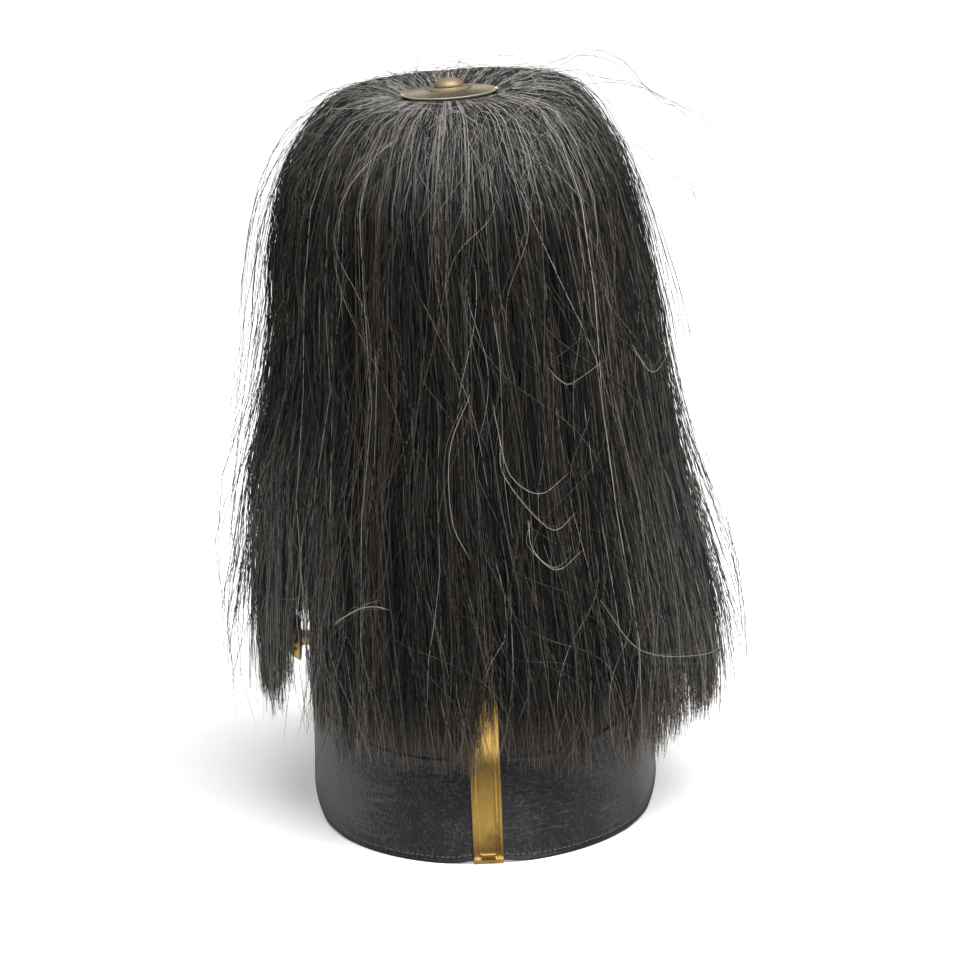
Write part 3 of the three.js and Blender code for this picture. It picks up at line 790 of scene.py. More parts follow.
def rib_tree():
    """Sets thin bars radially round a ring, for the cap's ribs."""
    inputs = [
        ("Count", COUNT, 84),
        ("Radius", NUMBER, 0.0185),
        ("Length", NUMBER, 0.0115),
        ("Width", NUMBER, 0.00052),
        ("Height", NUMBER, 0.0006),
        ("Tilt", NUMBER, 0.105),
        ("Material", MATERIAL, None),
    ]
    tree, given, result = node_group("Ribs", inputs)
    ring_inputs = {"Resolution": given.outputs["Count"], "Radius": given.outputs["Radius"]}
    ring = tree.wire("GeometryNodeCurvePrimitiveCircle", {"mode": "RADIUS"}, ring_inputs)
    spot = tree.wire("GeometryNodeInputPosition")
    turned = tree.wire("FunctionNodeAlignRotationToVector", {"axis": "X"}, {"Vector": spot})
    tilt = tree.wire("ShaderNodeCombineXYZ", None, {1: given.outputs["Tilt"]})
    tilt_turn = tree.wire("FunctionNodeEulerToRotation", None, {0: tilt})
    space = {"rotation_space": "LOCAL"}
    both = tree.wire("FunctionNodeRotateRotation", space, {0: turned, 1: tilt_turn})
    bar_inputs = {"Vertices": 6, "Radius": 0.5, "Depth": 1.0}
    bar = tree.wire("GeometryNodeMeshCylinder", {"fill_type": "NGON"}, bar_inputs)
    laid_inputs = {"Geometry": bar, "Rotation": (0.0, math.pi / 2, 0.0)}
    laid = tree.wire("GeometryNodeTransform", None, laid_inputs)
    placed = scattered(tree, given, ring, laid, both, ("Length", "Width", "Height"))
    return finish_tree(tree, given, result, placed)


# Leather pieces


def build_skull(settings):
    """The hollow skull, from the inner top down to the rim and up outside."""
    turn = whole_turn(112)
    climbs = np.sin(np.radians(np.linspace(0.0, 86.0, 30))) ** 0.8
    outside = [skull_points(turn, climb, 0.0) for climb in climbs]
    inside = [skull_points(turn, climb, LEATHER) for climb in climbs]
    thing = loft("skull_shell_leather", inside[::-1] + outside)
    finish = leather_finish("Black leather", settings.leather)
    return finish_piece(thing, ["skull_shell"], finish)


def visor_surface(form, edge, degrees, drop_rows, inset, lip=0.0):
    """Rows of points on one face of a visor; drop_rows are millimetres above the lower edge."""
    angle = np.radians(degrees) * form["side"]
    from_ear = np.minimum(degrees, 180.0 - degrees)
    low = table_at(edge, from_ear)
    top = rim_height(angle) - JOIN
    rows = []
    for share, bulge in drop_rows:
        z = mix(top, low, share)
        drop = (top - z) / top
        swell = form["swell"] * np.sin(math.pi * drop) - inset + bulge
        seam = np.exp(-(((top - z) / 2.2) ** 2)) * lip
        width = mix(HALF_WIDTH, form["width"], drop) + swell + seam
        length = mix(HALF_LENGTH, form["reach"], drop) + swell + seam
        power = mix(SKULL_PLAN, form["plan"], drop)
        x, y = super_point(width, length, power, angle)
        rows.append(np.stack([x, y, z], axis=-1))
    return rows


def build_visor(name, node, form, edge, first, settings, lip):
    """A bent leather sheet with a pressed line and a rounded edge; lip makes its top stand proud."""
    ear = np.linspace(first, 12, 22)
    other_ear = np.linspace(168, 180 - first, 22)
    degrees = np.concatenate([ear, np.linspace(13.5, 166.5, 140), other_ear])
    seam, edge_rows = [0.0, 0.012, 0.03, 0.06], [0.94, 0.955, 0.965, 0.975, 0.985, 0.994, 1.0]
    drop = np.concatenate([seam, np.linspace(0.1, 0.92, 24), edge_rows])
    above = (1.0 - drop) * VISOR_DEPTH
    bulge = 0.3 * np.exp(-(((above - 0.8) / 0.7) ** 2)) - 0.3 * np.exp(-(((above - 2.0) / 0.4) ** 2))
    bulge[-1] -= 0.45
    bulge[0] -= 0.5
    bulge[1] -= 0.1
    away = np.abs(np.cos(np.radians(degrees)))
    proud = lip * smoothstep(away, 0.1, 0.22)
    outer = visor_surface(form, edge, degrees, zip(drop, bulge), 0.0, proud)
    plain = [(share, 0.3 if share in (0.0, 1.0) else 0.0) for share in drop[::2]]
    inner = visor_surface(form, edge, degrees, plain, LEATHER, 0.0)
    rows = outer + inner[::-1]
    rings = np.stack(rows, axis=1)
    thing = loft(name, rings, sharp=60.0)
    finish = leather_finish("Black leather", settings.leather)
    return finish_piece(thing, [node], finish)


def build_stitches(settings):
    """The row of stitches above the rear visor's edge, left out under the strip."""
    degrees = np.linspace(6.0, 174.0, 420)
    seam = [(1.0 - settings.leather.stitch_height / VISOR_DEPTH, 0.08)]
    line = visor_surface(REAR, REAR_EDGE, degrees, seam, 0.0)[0]
    keep = np.abs(line[:, 0]) > SPINE_WIDTH / 2 + 1.0
    edges = [(i, i + 1) for i in range(len(line) - 1) if keep[i] and keep[i + 1]]
    mesh = bpy.data.meshes.new("rear_visor_stitches")
    mesh.from_pydata((line * MM).tolist(), edges, [])
    thing = linked("rear_visor_stitches", mesh)
    pitch = settings.leather.stitch_pitch * MM
    values = {
        "Pitch": pitch,
        "Length": pitch * 0.74,
        "Width": 0.42 * MM,
        "Material": thread_finish("Waxed thread", settings.leather),
    }
    grown(thing, stitch_tree(), values)
    return finish_piece(thing, [])


# Brass pieces


def spine_path():
    """The strip's inner face down the back: y, z rows in millimetres, from the crown to the hook."""
    rows = []
    half_pi = np.array([math.pi / 2])
    for degree in np.linspace(73.0, 1.0, 60):
        point = skull_points(half_pi, math.sin(math.radians(degree)) ** 0.8, -JOIN)[0]
        rows.append((point[1], point[2]))
    top = RIM_BACK - JOIN
    for drop in np.concatenate([np.linspace(0.03, 0.76, 30), np.linspace(0.77, 0.93, 24)]):
        z = top * (1.0 - drop)
        y = mix(HALF_LENGTH, REAR["reach"], drop) + REAR["swell"] * math.sin(math.pi * drop) + STRIP_GAP
        rows.append((y, z))
    for turn in np.linspace(0.15, 1.0, 7):
        a = turn * math.pi / 2
        rows.append((127.2 + 1.1 * math.cos(a) + STRIP_GAP, 2.4 - 1.15 * math.sin(a)))
    rows += [(126.0, 1.25), (124.6, 1.25), (123.6, 1.25)]
    return np.array(rows)


def build_spine(settings):
    """The brass strip with its raised panel, swept down the back and hooked under the edge."""
    path = spine_path()
    step = np.gradient(path, axis=0)
    length = np.hypot(step[:, 0], step[:, 1])
    normal = np.stack([-step[:, 1] / length, step[:, 0] / length], axis=1)
    run = np.concatenate([[0.0], np.cumsum(np.hypot(*np.diff(path, axis=0).T))])
    end = run[-9] - 1.5
    rings = []
    for i, (y, z) in enumerate(path):
        corner = np.clip((run[i] - (end + 1.2)) / 2.6, 0.0, 1.0)
        half = SPINE_WIDTH / 2 - 1.5 * (1.0 - math.sqrt(1.0 - corner**2))
        inner = np.linspace(-half + 0.4, half - 0.4, 41)
        across = np.concatenate([[-half, -half + 0.15], inner, [half - 0.15, half]])
        beside = np.abs(across) - (SPINE_PANEL - PANEL_CORNER)
        past = run[i] - (end - 1.0 - PANEL_CORNER)
        outside = np.hypot(np.maximum(beside, 0.0), max(past, 0.0))
        edge = PANEL_CORNER - outside - np.minimum(np.maximum(beside, past), 0.0)
        crest = 0.5 * np.exp(-(((edge + 0.15) / 0.5) ** 2)) + 0.35 * smoothstep(edge, -0.4, 0.4)
        groove = 0.22 * np.exp(-(((edge + 1.0) / 0.35) ** 2))
        beyond = smoothstep(run[i], end + 0.5, end + 2.5)
        height = 0.85 + (crest - groove) * (1.0 - beyond) + 0.3 * beyond
        height = height - 0.35 * smoothstep(np.abs(across), half - 0.5, half)
        height[0] -= 0.25
        height[-1] -= 0.25
        top = [(xx, y + normal[i, 0] * h, z + normal[i, 1] * h) for xx, h in zip(across, height)]
        under = [(half, y, z), (half * 0.4, y, z), (-half * 0.4, y, z), (-half, y, z)]
        rings.append(top + under)
    thing = loft("rear_spine_brass", rings, sharp=35.0)
    finish = gold_finish("Golden brass", settings.brass)
    return finish_piece(thing, ["rear_spine"], finish)


def build_boss(name, node, side, settings):
    """A fluted dome on a short stem, standing on the side of the skull."""
    seat = HALF_WIDTH + JOIN
    turn = whole_turn(168)
    petals = 0.5 + 0.5 * np.cos(turn * 14)
    rows = [
        (4.2, 0.0, 0), (4.2, 3.4, 0), (5.2, 3.7, 0), (9.0, 4.1, 0), (11.6, 4.4, 0), (12.2, 5.0, 0),
        (12.1, 5.7, 0.25), (11.6, 6.6, 0.55), (10.8, 7.8, 0.8), (9.7, 9.1, 0.8), (8.3, 10.2, 0.65),
        (6.8, 11.1, 0.5), (5.2, 11.8, 0.35), (3.9, 12.2, 0.15), (3.4, 12.3, 0), (3.1, 12.9, 0),
        (2.4, 13.4, 0), (1.2, 13.6, 0),
    ]
    rings = []
    for radius, out, flute in rows:
        r = radius - flute * (1.0 - petals) * 0.9
        x = seat + out - flute * (1.0 - petals) * 0.35
        ring = [side * x + 0.0 * turn, r * np.cos(turn), BOSS_HEIGHT + r * np.sin(turn)]
        rings.append(np.stack(ring, axis=-1))
    thing = loft(name, rings, sharp=50.0)
    return finish_piece(thing, [node], gold_finish("Golden brass", settings.brass))


def build_cap(settings):
    """The cap's plate, turned from its underside over the folded edge to the knob's seat."""
    low = CUP_TOP + JOIN
    profile = [
        (0, low), (20.0, low), (23.6, low), (24.5, low + 0.4), (24.95, low + 0.9), (25.0, low + 1.2),
        (24.7, low + 1.45), (24.2, low + 1.5), (23.9, low + 1.3), (23.2, low + 1.4), (20.5, low + 1.95),
        (17.0, low + 2.35), (13.6, low + 2.5), (12.4, low + 2.65), (11.2, low + 2.65),
        (10.8, low + 2.4), (10.6, low + 2.2), (6.0, low + 2.2), (2.0, low + 2.2), (0, low + 2.2),
    ]
    thing = lathe("plume_cap_plate", profile, 160, sharp=35.0)
    finish = aged_finish("Grooved brass", settings.brass, 0.0, 1.0)
    return finish_piece(thing, ["plume_cap"], finish)


def build_ribs(settings):
    """The ribs that lie on the cap, grown flat and then leaned with the holder."""
    thing = linked("plume_cap_ribs", bpy.data.meshes.new("plume_cap_ribs"))
    values = {
        "Count": settings.brass.rib_count,
        "Width": settings.brass.rib_width * MM,
        "Material": aged_finish("Tarnished brass", settings.brass),
    }
    grown(thing, rib_tree(), values)
    points = np.zeros(len(thing.data.vertices) * 3)
    thing.data.vertices.foreach_get("co", points)
    points = points.reshape(-1, 3) / MM
    points[:, 2] += CUP_TOP + JOIN + 2.15
    thing.data.vertices.foreach_set("co", (leaned(points) * MM).ravel())
    thing.data.update()
    return finish_piece(thing, [])


def build_folds(settings):
    """The two folded bits of metal at the cap's edge, where its ends meet."""
    low = CUP_TOP + JOIN
    turn = whole_turn(20)
    for name, centre, half in (
        ("plume_cap_fold_right", (-24.4, 3.0, low + 1.5), (1.8, 1.5, 1.2)),
        ("plume_cap_fold_left", (24.9, 1.2, low + 1.3), (1.1, 1.2, 0.8)),
        ("plume_cap_tab", (-12.8, 2.0, low + 2.9), (1.7, 1.1, 0.6)),
    ):
        rings = []
        for lift in np.linspace(-80.0, 80.0, 9):
            c, s = math.cos(math.radians(lift)), math.sin(math.radians(lift))
            wave = 1.0 + 0.12 * np.sin(turn * 3 + lift)
            ring = np.stack([
                centre[0] + half[0] * c * np.cos(turn) * wave,
                centre[1] + half[1] * c * np.sin(turn) * wave,
                centre[2] + half[2] * s + 0.0 * turn,
            ], axis=-1)
            rings.append(leaned(ring))
        thing = loft(name, rings, sharp=60.0)
        finish_piece(thing, [], aged_finish("Tarnished brass", settings.brass))


def build_knob(settings):
    """The round knob on its collar."""
    low = CUP_TOP + 2 * JOIN + CAP_THICK
    collar, knob, h = COLLAR_RADIUS, KNOB_RADIUS, KNOB_HEIGHT
    profile = [
        (0, low), (collar - 0.3, low), (collar, low + 0.15), (collar, low + 0.4),
        (collar - 0.35, low + 0.62), (mix(collar, knob, 0.45), low + 0.85),
        (mix(collar, knob, 0.8), low + 1.2), (knob + 0.25, low + 1.45),
        (knob + 0.1, low + 1.62), (knob - 0.35, low + 1.72), (knob - 0.4, low + 1.9), (knob, low + 2.1),
    ]
    for lift in np.radians(np.linspace(4.0, 84.0, 18)):
        profile.append((knob * math.cos(lift), low + 2.1 + (h - 2.1) * math.sin(lift)))
    profile.append((0, low + h))
    thing = lathe("plume_knob_turned", profile, 96, sharp=50.0)
    finish = aged_finish("Handled brass", settings.brass, 0.6)
    return finish_piece(thing, ["plume_knob"], finish)


# Hair


def dense_lift(angle, run):
    """Lift of the dense hair's surface off the plume's form, by plan angle and run."""
    height = np.interp(run, PROFILE["run"], PROFILE["height"])
    left = np.clip(np.cos(angle), 0.0, 1.0)
    return -table_at(DENSE_INSET, height) - table_at(LEFT_INSET, height) * left


def build_under(settings):
    """The dense inner body of the plume that the strands lie on."""
    columns, rows = 150, 48
    turn = whole_turn(columns)
    rng = np.random.default_rng(SEEDS["under"])
    jag = np.tile(rng.uniform(0.0, 1.0, columns), 3)
    jag = np.convolve(jag, np.ones(3) / 3, "same")[columns:2 * columns]
    end = run_at_height(lock_end(turn) + settings.hair.under_rise + 18.0 * jag)
    share = np.linspace(0.0, 1.0, rows) ** 0.9
    grid_rings, maps = [], []
    for face in (0, 1):
        order = share if face == 0 else share[::-1]
        for s in order:
            run = mix(6.0, end, s)
            thick = mix(3.0, 5.2, smoothstep(s, 0.0, 0.3))
            thick = thick * mix(1.0, 0.35, smoothstep(s, 0.8, 1.0))
            lift = dense_lift(turn, run) - STRAND_LAYER - face * thick
            ridge = 0.7 * np.sin(turn * 97 + 3.0 * np.sin(turn * 5)) + 0.5 * np.sin(turn * 41)
            lift = lift + (1 - face) * ridge * smoothstep(s, 0.1, 0.4)
            grid_rings.append(on_plume(turn, run, lift))
            maps.append((s, face))
    thing = loft("plume_under_hair", grid_rings, looped=True, sharp=80.0)
    layer = thing.data.uv_layers.new(name="OFBake")
    for polygon in thing.data.polygons:
        corners = [divmod(v, columns) for v in polygon.vertices]
        wrap = max(c[1] for c in corners) - min(c[1] for c in corners) > columns // 2
        flip = {0, 2 * rows - 1} == {c[0] for c in corners}
        for loop, (ring, column) in zip(polygon.loop_indices, corners):
            u = (column + (columns if wrap and column == 0 else 0)) / columns
            s, face = maps[ring]
            v = 0.5 + 0.5 * s if face == 0 else 0.5 * (1.0 - s)
            if flip:
                v = 0.5 if ring == 0 else 0.499
            layer.data[loop].uv = (u, v)
    return finish_piece(thing, ["plume"], under_finish("Under hair"))


def even_shares(points):
    """Shares of a strand's length at its points, as one row."""
    return np.linspace(0.0, 1.0, points)[None, :]


def even_widths(rng, shape, hair, low, high, part):
    """A random width for each strand, the same along it."""
    count, points = shape
    return rng.uniform(low, high, (count, 1)) * hair.thickness * part * np.ones((1, points))


def wave(share, rate, phase):
    """A sine that is 0 at the root."""
    return np.sin(share * rate * TURN + phase) - np.sin(phase)


def waves(rng, count, points, low, high):
    """Smooth random wandering, one row a strand, that is 0 at the root."""
    along = even_shares(points)
    total = np.zeros((count, points))
    for _ in range(3):
        rate = rng.uniform(low, high, (count, 1))
        phase = rng.uniform(0.0, TURN, (count, 1))
        total += wave(along, rate, phase) / 3.0
    return total


def tufts(hair):
    """Pointed ends in which the strands gather: angle, end height, how tightly."""
    rng = np.random.default_rng(SEEDS["tufts"])
    count = hair.tuft_count
    spots = whole_turn(count) + rng.uniform(-0.04, 0.04, count)
    ends = lock_end(spots) + rng.uniform(-8.0, 7.0, count)
    tight = rng.uniform(0.25, 0.85, count)
    return spots % TURN, ends, tight


def nearest_tuft(angle, spots):
    gap = np.abs((angle[:, None] - spots[None, :] + math.pi) % TURN - math.pi)
    return np.argmin(gap, axis=1)


def locks_of_hair(hair):
    """The locks in which strands wander together: bends, rise over their neighbours and tone."""
    rng = np.random.default_rng(SEEDS["locks"])
    count = hair.lock_count
    return {
        "slant": rng.normal(0.0, 6.0, count),
        "bend": rng.uniform(1.5, 6.0, count),
        "rate": rng.uniform(0.5, 1.7, count),
        "phase": rng.uniform(0.0, TURN, count),
        "rise": rng.uniform(0.3, 1.7, count),
        "rise_rate": rng.uniform(0.4, 1.5, count),
        "rise_phase": rng.uniform(0.0, TURN, count),
        "tone": rng.normal(0.0, 0.15, count),
    }


def strand_tones(rng, count, shift):
    """Mostly near-black strands, with brown, grey and a few pale ones between them."""
    kind = rng.uniform(0.0, 1.0, count)
    tone = rng.normal(0.13, 0.08, count)
    tone = np.where(kind > 0.56, rng.normal(0.50, 0.08, count), tone)
    tone = np.where(kind > 0.84, rng.normal(0.71, 0.06, count), tone)
    tone = np.where(kind > 0.975, rng.normal(0.92, 0.04, count), tone)
    return np.clip(tone + shift, 0.01, 0.99)


# Places of the points along a strand: from the cap, and from lower down
FULL_NODES = [0, 0.025, 0.055, 0.09, 0.13, 0.18, 0.26, 0.38, 0.52, 0.67, 0.84, 1.0]
LOW_NODES = [0, 0.1, 0.24, 0.4, 0.56, 0.72, 0.87, 1.0]


def falling_strands(rng, count, full, hair):
    """Paths, widths and tones of strands that fall over the plume."""
    share = np.array(FULL_NODES if full else LOW_NODES)[None, :]
    points = share.shape[1]
    angle = (np.arange(count) + rng.uniform(0.0, 1.0, count)) / count * TURN

    # the lock that the strand belongs to, and the tuft that it ends in
    locks = locks_of_hair(hair)
    place = angle / TURN * hair.lock_count + rng.normal(0.0, 0.45, count)
    lock = np.floor(place).astype(int) % hair.lock_count
    own = {key: value[lock][:, None] for key, value in locks.items()}
    centre = (np.floor(place) + 0.5) / hair.lock_count * TURN
    crossing = np.where(rng.uniform(0.0, 1.0, (count, 1)) < 0.18, 3.0, 1.0)
    slant = rng.normal(0.0, 5.0, (count, 1)) * crossing
    wander = own["bend"] * wave(1.0, own["rate"], own["phase"])
    landing = angle + (centre - angle) * hair.pull + (wander + own["slant"] + slant)[:, 0] / TIP_RADIUS
    spots, ends, tight = tufts(hair)
    tuft = nearest_tuft(landing + rng.normal(0.0, 0.015, count), spots)
    ragged = rng.gamma(1.3, hair.ragged / 1.3, count) - 3.0
    tip = ends[tuft] + np.clip(ragged, -3.0, 110.0)
    last = run_at_height(tip)

    # the stretch of the plume's curve that it covers
    if full:
        first = rng.uniform(0.0, 5.0, count)
    else:
        first = run_at_height(np.clip(rng.uniform(120.0, HAIR_TOP, count), tip + 70.0, HAIR_TOP))
    run = mix(first[:, None], last[:, None], share)
    fall = fall_at(run)
    radius = radius_at(run)

    # its plan angle: with its lock, by itself, and into the tuft
    pull = hair.pull * smoothstep(fall, 0.15, 0.6)
    together = own["bend"] * wave(fall, own["rate"], own["phase"])
    together = (together + own["slant"] * fall) * smoothstep(fall, 0.1, 0.5)
    sway = waves(rng, count, points, 0.3, 1.3) * hair.sway * (0.15 + fall)
    kink = waves(rng, count, points, 2.0, 6.0) * 1.3 * fall
    turned = mix(angle[:, None], centre[:, None], pull)
    turned = turned + (together + sway + kink + slant * fall**1.5) / radius
    to_tuft = (spots[tuft][:, None] - turned + math.pi) % TURN - math.pi
    gather = smoothstep(share, 0.6, 1.0) ** 1.4 * tight[tuft][:, None]
    splay = rng.normal(0.0, 3.8, (count, 1)) * smoothstep(share, 0.78, 1.0) * smoothstep(fall, 0.6, 0.9)
    turned = turned + to_tuft * gather + splay / radius

    # its lift off the plume's form
    depth = rng.uniform(0.0, STRAND_LAYER, count)
    outer = rng.uniform(0.0, 1.0, count) < hair.outer_share
    depth = np.where(outer, -rng.uniform(0.0, 7.0, count), depth)
    rise = own["rise"] * np.sin(fall * own["rise_rate"] * TURN + own["rise_phase"])
    lift = dense_lift(turned, run) - depth[:, None] * smoothstep(fall, 0.02, 0.2)
    lift = lift + rise * smoothstep(fall, 0.12, 0.4) + waves(rng, count, points, 0.5, 2.2) * 0.9
    lift = np.where(fall < 0.1, np.minimum(lift, -0.2) * (0.4 + 6.0 * fall), lift)
    if not full:
        lift = lift - 4.0 * (1.0 - smoothstep(share, 0.0, 0.25))
    paths = on_plume(turned, run, lift)

    # its width, thinner at both ends, and its tone
    across = np.interp(fall, [0, 0.06, 0.9, 1.0], [0.8, 1.0, 1.0, 0.9])
    thick = rng.uniform(0.55, 1.35, (count, 1)) * hair.thickness / 2 * across
    thick[:, -1] *= 0.3
    thick[:, -2] *= 0.8
    tone = strand_tones(rng, count, locks["tone"][lock])
    return paths, thick, tone, fall, angle


def loose_strands(rng, count, hair):
    """Thin hairs that stand off the plume, most of all low down."""
    points = 8
    share = even_shares(points)
    angle = rng.uniform(0.0, TURN, count)
    high = rng.uniform(0.0, 1.0, count) < 0.35
    tip = lock_end(angle) + rng.uniform(-2.0, 150.0, count) * rng.uniform(0.1, 1.0, count)
    tip = np.where(high, rng.uniform(130.0, 300.0, count), tip)
    last = run_at_height(tip)
    low_first = run_at_height(np.clip(tip + rng.uniform(90.0, 240.0, count), tip + 60.0, HAIR_TOP))
    first = np.where(high, rng.uniform(22.0, 52.0, count), low_first)
    run = mix(first[:, None], last[:, None], share)
    radius = radius_at(run)
    drift = rng.normal(0.0, 1.0, (count, 1)) * 17.0 * share**1.3
    drift = drift + waves(rng, count, points, 0.4, 1.6) * 6.0
    turned = angle[:, None] + drift / radius
    stand = rng.gamma(1.6, hair.stand_off / 1.6, (count, 1))
    stand = stand * np.where(high[:, None], share**0.8, share**1.3)
    stand = stand * (1.0 + 0.7 * np.clip(np.cos(turned), 0.0, 1.0))
    lift = dense_lift(turned, run) - 1.0 + 2.0 * share + stand
    lift = lift + waves(rng, count, points, 0.5, 2.0) * 1.5
    lift = np.minimum(lift, np.minimum(WIDEST - radius, hair.reach))
    paths = on_plume(turned, run, lift)
    thick = even_widths(rng, run.shape, hair, 0.6, 1.15, 0.46)
    thick[:, -1] *= 0.4
    tone = np.clip(rng.normal(0.36, 0.2, count), 0.05, 0.97)
    fall = fall_at(run)
    return paths, thick, tone, fall


def stray_strands(rng, count, hair):
    """Hairs that lie across the others in long bends and half loops."""
    points = 16
    share = even_shares(points)
    angle = rng.uniform(0.0, TURN, count)
    start = rng.uniform(110.0, 380.0, count)
    length = rng.uniform(40.0, 150.0, count)
    first = run_at_height(start)
    last = np.minimum(first + length, run_at_height(lock_end(angle) + 4.0))
    last = np.maximum(last, first + 25.0)
    curl = rng.uniform(0.0, 1.0, count) ** 2
    bend = rng.choice([-1.0, 1.0], count)
    way = waves(rng, count, points, 0.25, 0.8) * 8.0
    round_share = 1.0 - np.cos(share * math.pi * 1.2)
    loop = bend[:, None] * curl[:, None] * round_share * length[:, None] * 0.28
    rise = curl[:, None] * np.sin(share * math.pi * 0.9) ** 2 * share * length[:, None] * 0.3
    run = mix(first[:, None], last[:, None], share) - rise
    radius = radius_at(run)
    slant = rng.normal(0.0, 1.0, (count, 1)) * share * length[:, None] * 0.16
    turned = angle[:, None] + (way + loop + slant) / radius
    arch = 3.0 * np.sin(share * math.pi) * rng.uniform(0.2, 1.4, (count, 1))
    paths = on_plume(turned, run, dense_lift(turned, run) + 0.4 + arch)
    thick = even_widths(rng, run.shape, hair, 0.6, 1.0, 0.38)
    thick[:, [0, -1]] *= 0.5
    tone = np.clip(rng.normal(0.78, 0.12, count), 0.4, 0.99)
    fall = fall_at(run)
    return paths, thick, tone, fall


def short_strands(rng, count, hair):
    """Short hairs that stand up a little over the top of the plume."""
    points = 6
    share = even_shares(points)
    angle = rng.uniform(0.0, TURN, count)
    first = rng.uniform(8.0, 70.0, count)
    length = rng.uniform(20.0, 60.0, count)
    slant = rng.normal(0.0, 0.6, count)
    run = first[:, None] + (length * np.cos(slant))[:, None] * share
    radius = radius_at(run)
    side = (length * np.sin(slant))[:, None] * share
    turned = angle[:, None] + (side + waves(rng, count, points, 0.3, 1.0) * 2.5) / radius
    stand = rng.gamma(1.4, 2.0, (count, 1)) * share**1.2
    lift = dense_lift(turned, run) - 0.8 + np.minimum(stand, 9.0) + 1.2 * np.sin(share * math.pi)
    paths = on_plume(turned, run, lift)
    thick = even_widths(rng, run.shape, hair, 0.6, 1.0, 0.36)
    thick[:, -1] *= 0.4
    tone = np.clip(rng.normal(0.6, 0.17, count), 0.1, 0.99)
    return paths, thick, tone, np.full(run.shape, 0.1)


def camera_axes():
    """Right, up and back directions of the camera, and where it stands, in millimetres."""
    tilt, roll = math.radians(CAMERA["elevation"]), math.radians(CAMERA["roll"])
    right = np.array([-1.0, 0.0, 0.0])
    up = np.array([0.0, -math.sin(tilt), math.cos(tilt)])
    back = np.array([0.0, math.cos(tilt), math.sin(tilt)])
    turned = right * math.cos(roll) - up * math.sin(roll)
    raised = right * math.sin(roll) + up * math.cos(roll)
    stand = np.array(CAMERA["aim"]) + back * CAMERA["distance"]
    return turned, raised, back, stand


def picture_point(x, y, depth):
    """The point of the square picture on the upright plane at that depth along Y."""
    right, up, back, stand = camera_axes()
    focal = CAMERA["lens"] / SENSOR * PICTURE
    middle = PICTURE / 2
    ray = right * (x - middle) / focal + up * (middle - y) / focal - back
    return stand + ray * (depth - stand[1]) / ray[1]


def smooth_line(points, count):
    """A smooth curve through the points, as count points."""
    points = np.asarray(points, float)
    padded = np.concatenate([[2 * points[0] - points[1]], points, [2 * points[-1] - points[-2]]])
    places = np.linspace(0.0, len(points) - 1 - 1e-6, count)
    result = []
    for place in places:
        i = int(place)
        t = place - i
        a, b, c, d = padded[i:i + 4]
        value = 2 * b + (c - a) * t
        value = value + (2 * a - 5 * b + 4 * c - d) * t * t + (3 * b - a - 3 * c + d) * t**3
        result.append(value / 2)
    return np.array(result)


def curled_hairs(hair):
    """The single curled hairs that stand clear of the plume."""
    paths, thick, tone, fall = [], [], [], []
    rng = np.random.default_rng(SEEDS["curls"])
    points = 24
    for (near, far), width, spots in CURLS:
        for copy in range(hair.curl_copies):
            swing = rng.normal(0.0, 5.0, 2) * copy
            spread = rng.normal(0.0, 1.5, (len(spots), 2)) * copy
            spread = spread + np.linspace(0.0, 1.0, len(spots))[:, None] * swing
            depth = np.linspace(near, far, len(spots)) + rng.normal(0.0, 3.0) * copy
            places = np.array(spots) + spread
            line = [picture_point(x, y, d) for (x, y), d in zip(places, depth)]
            curve = smooth_line(line, 60)
            stop = 60 if copy == 0 else int(rng.uniform(36, 60))
            picked = np.linspace(0, stop - 1, points).astype(int)
            paths.append(curve[picked])
            size = width / 2 * (1.0 if copy == 0 else 0.7)
            sizes = [size * 0.6, size, size, size * 0.4]
            thick.append(np.interp(np.linspace(0, 1, points), [0, 0.1, 0.9, 1], sizes))
            tone.append(0.99 if copy == 0 else rng.uniform(0.55, 0.97))
            fall.append(np.full(points, 0.4))
    return np.array(paths), np.array(thick), np.array(tone), np.array(fall)


def strand_object(name, groups, material):
    """One piece of many strands, grown along their paths."""
    lines, thick, tone, along, edges, base = [], [], [], [], [], 0
    for paths, width, tones, fall in groups:
        count, points = width.shape
        lines.append(paths.reshape(-1, 3))
        thick.append(width.ravel())
        tone.append(np.repeat(tones, points))
        along.append(fall.ravel())
        index = base + np.arange(count * points).reshape(count, points)
        edges.append(np.stack([index[:, :-1].ravel(), index[:, 1:].ravel()], axis=1))
        base += count * points
    mesh = bpy.data.meshes.new(name)
    mesh.vertices.add(base)
    mesh.vertices.foreach_set("co", (np.concatenate(lines) * MM).ravel())
    pairs = np.concatenate(edges)
    mesh.edges.add(len(pairs))
    mesh.edges.foreach_set("vertices", pairs.ravel())
    carried = {"thick": np.concatenate(thick) * MM, "tone": np.concatenate(tone)}
    carried["along"] = np.concatenate(along)
    for label, values in carried.items():
        attribute = mesh.attributes.new(label, "FLOAT", "POINT")
        attribute.data.foreach_set("value", values.astype(np.float32))
    mesh.update()
    thing = linked(name, mesh)
    tree = bpy.data.node_groups.get("Strands") or strand_tree()
    grown(thing, tree, {"Sides": 3, "Thickness": 1.0, "Material": material})
    thing.data.shade_smooth()
    return thing


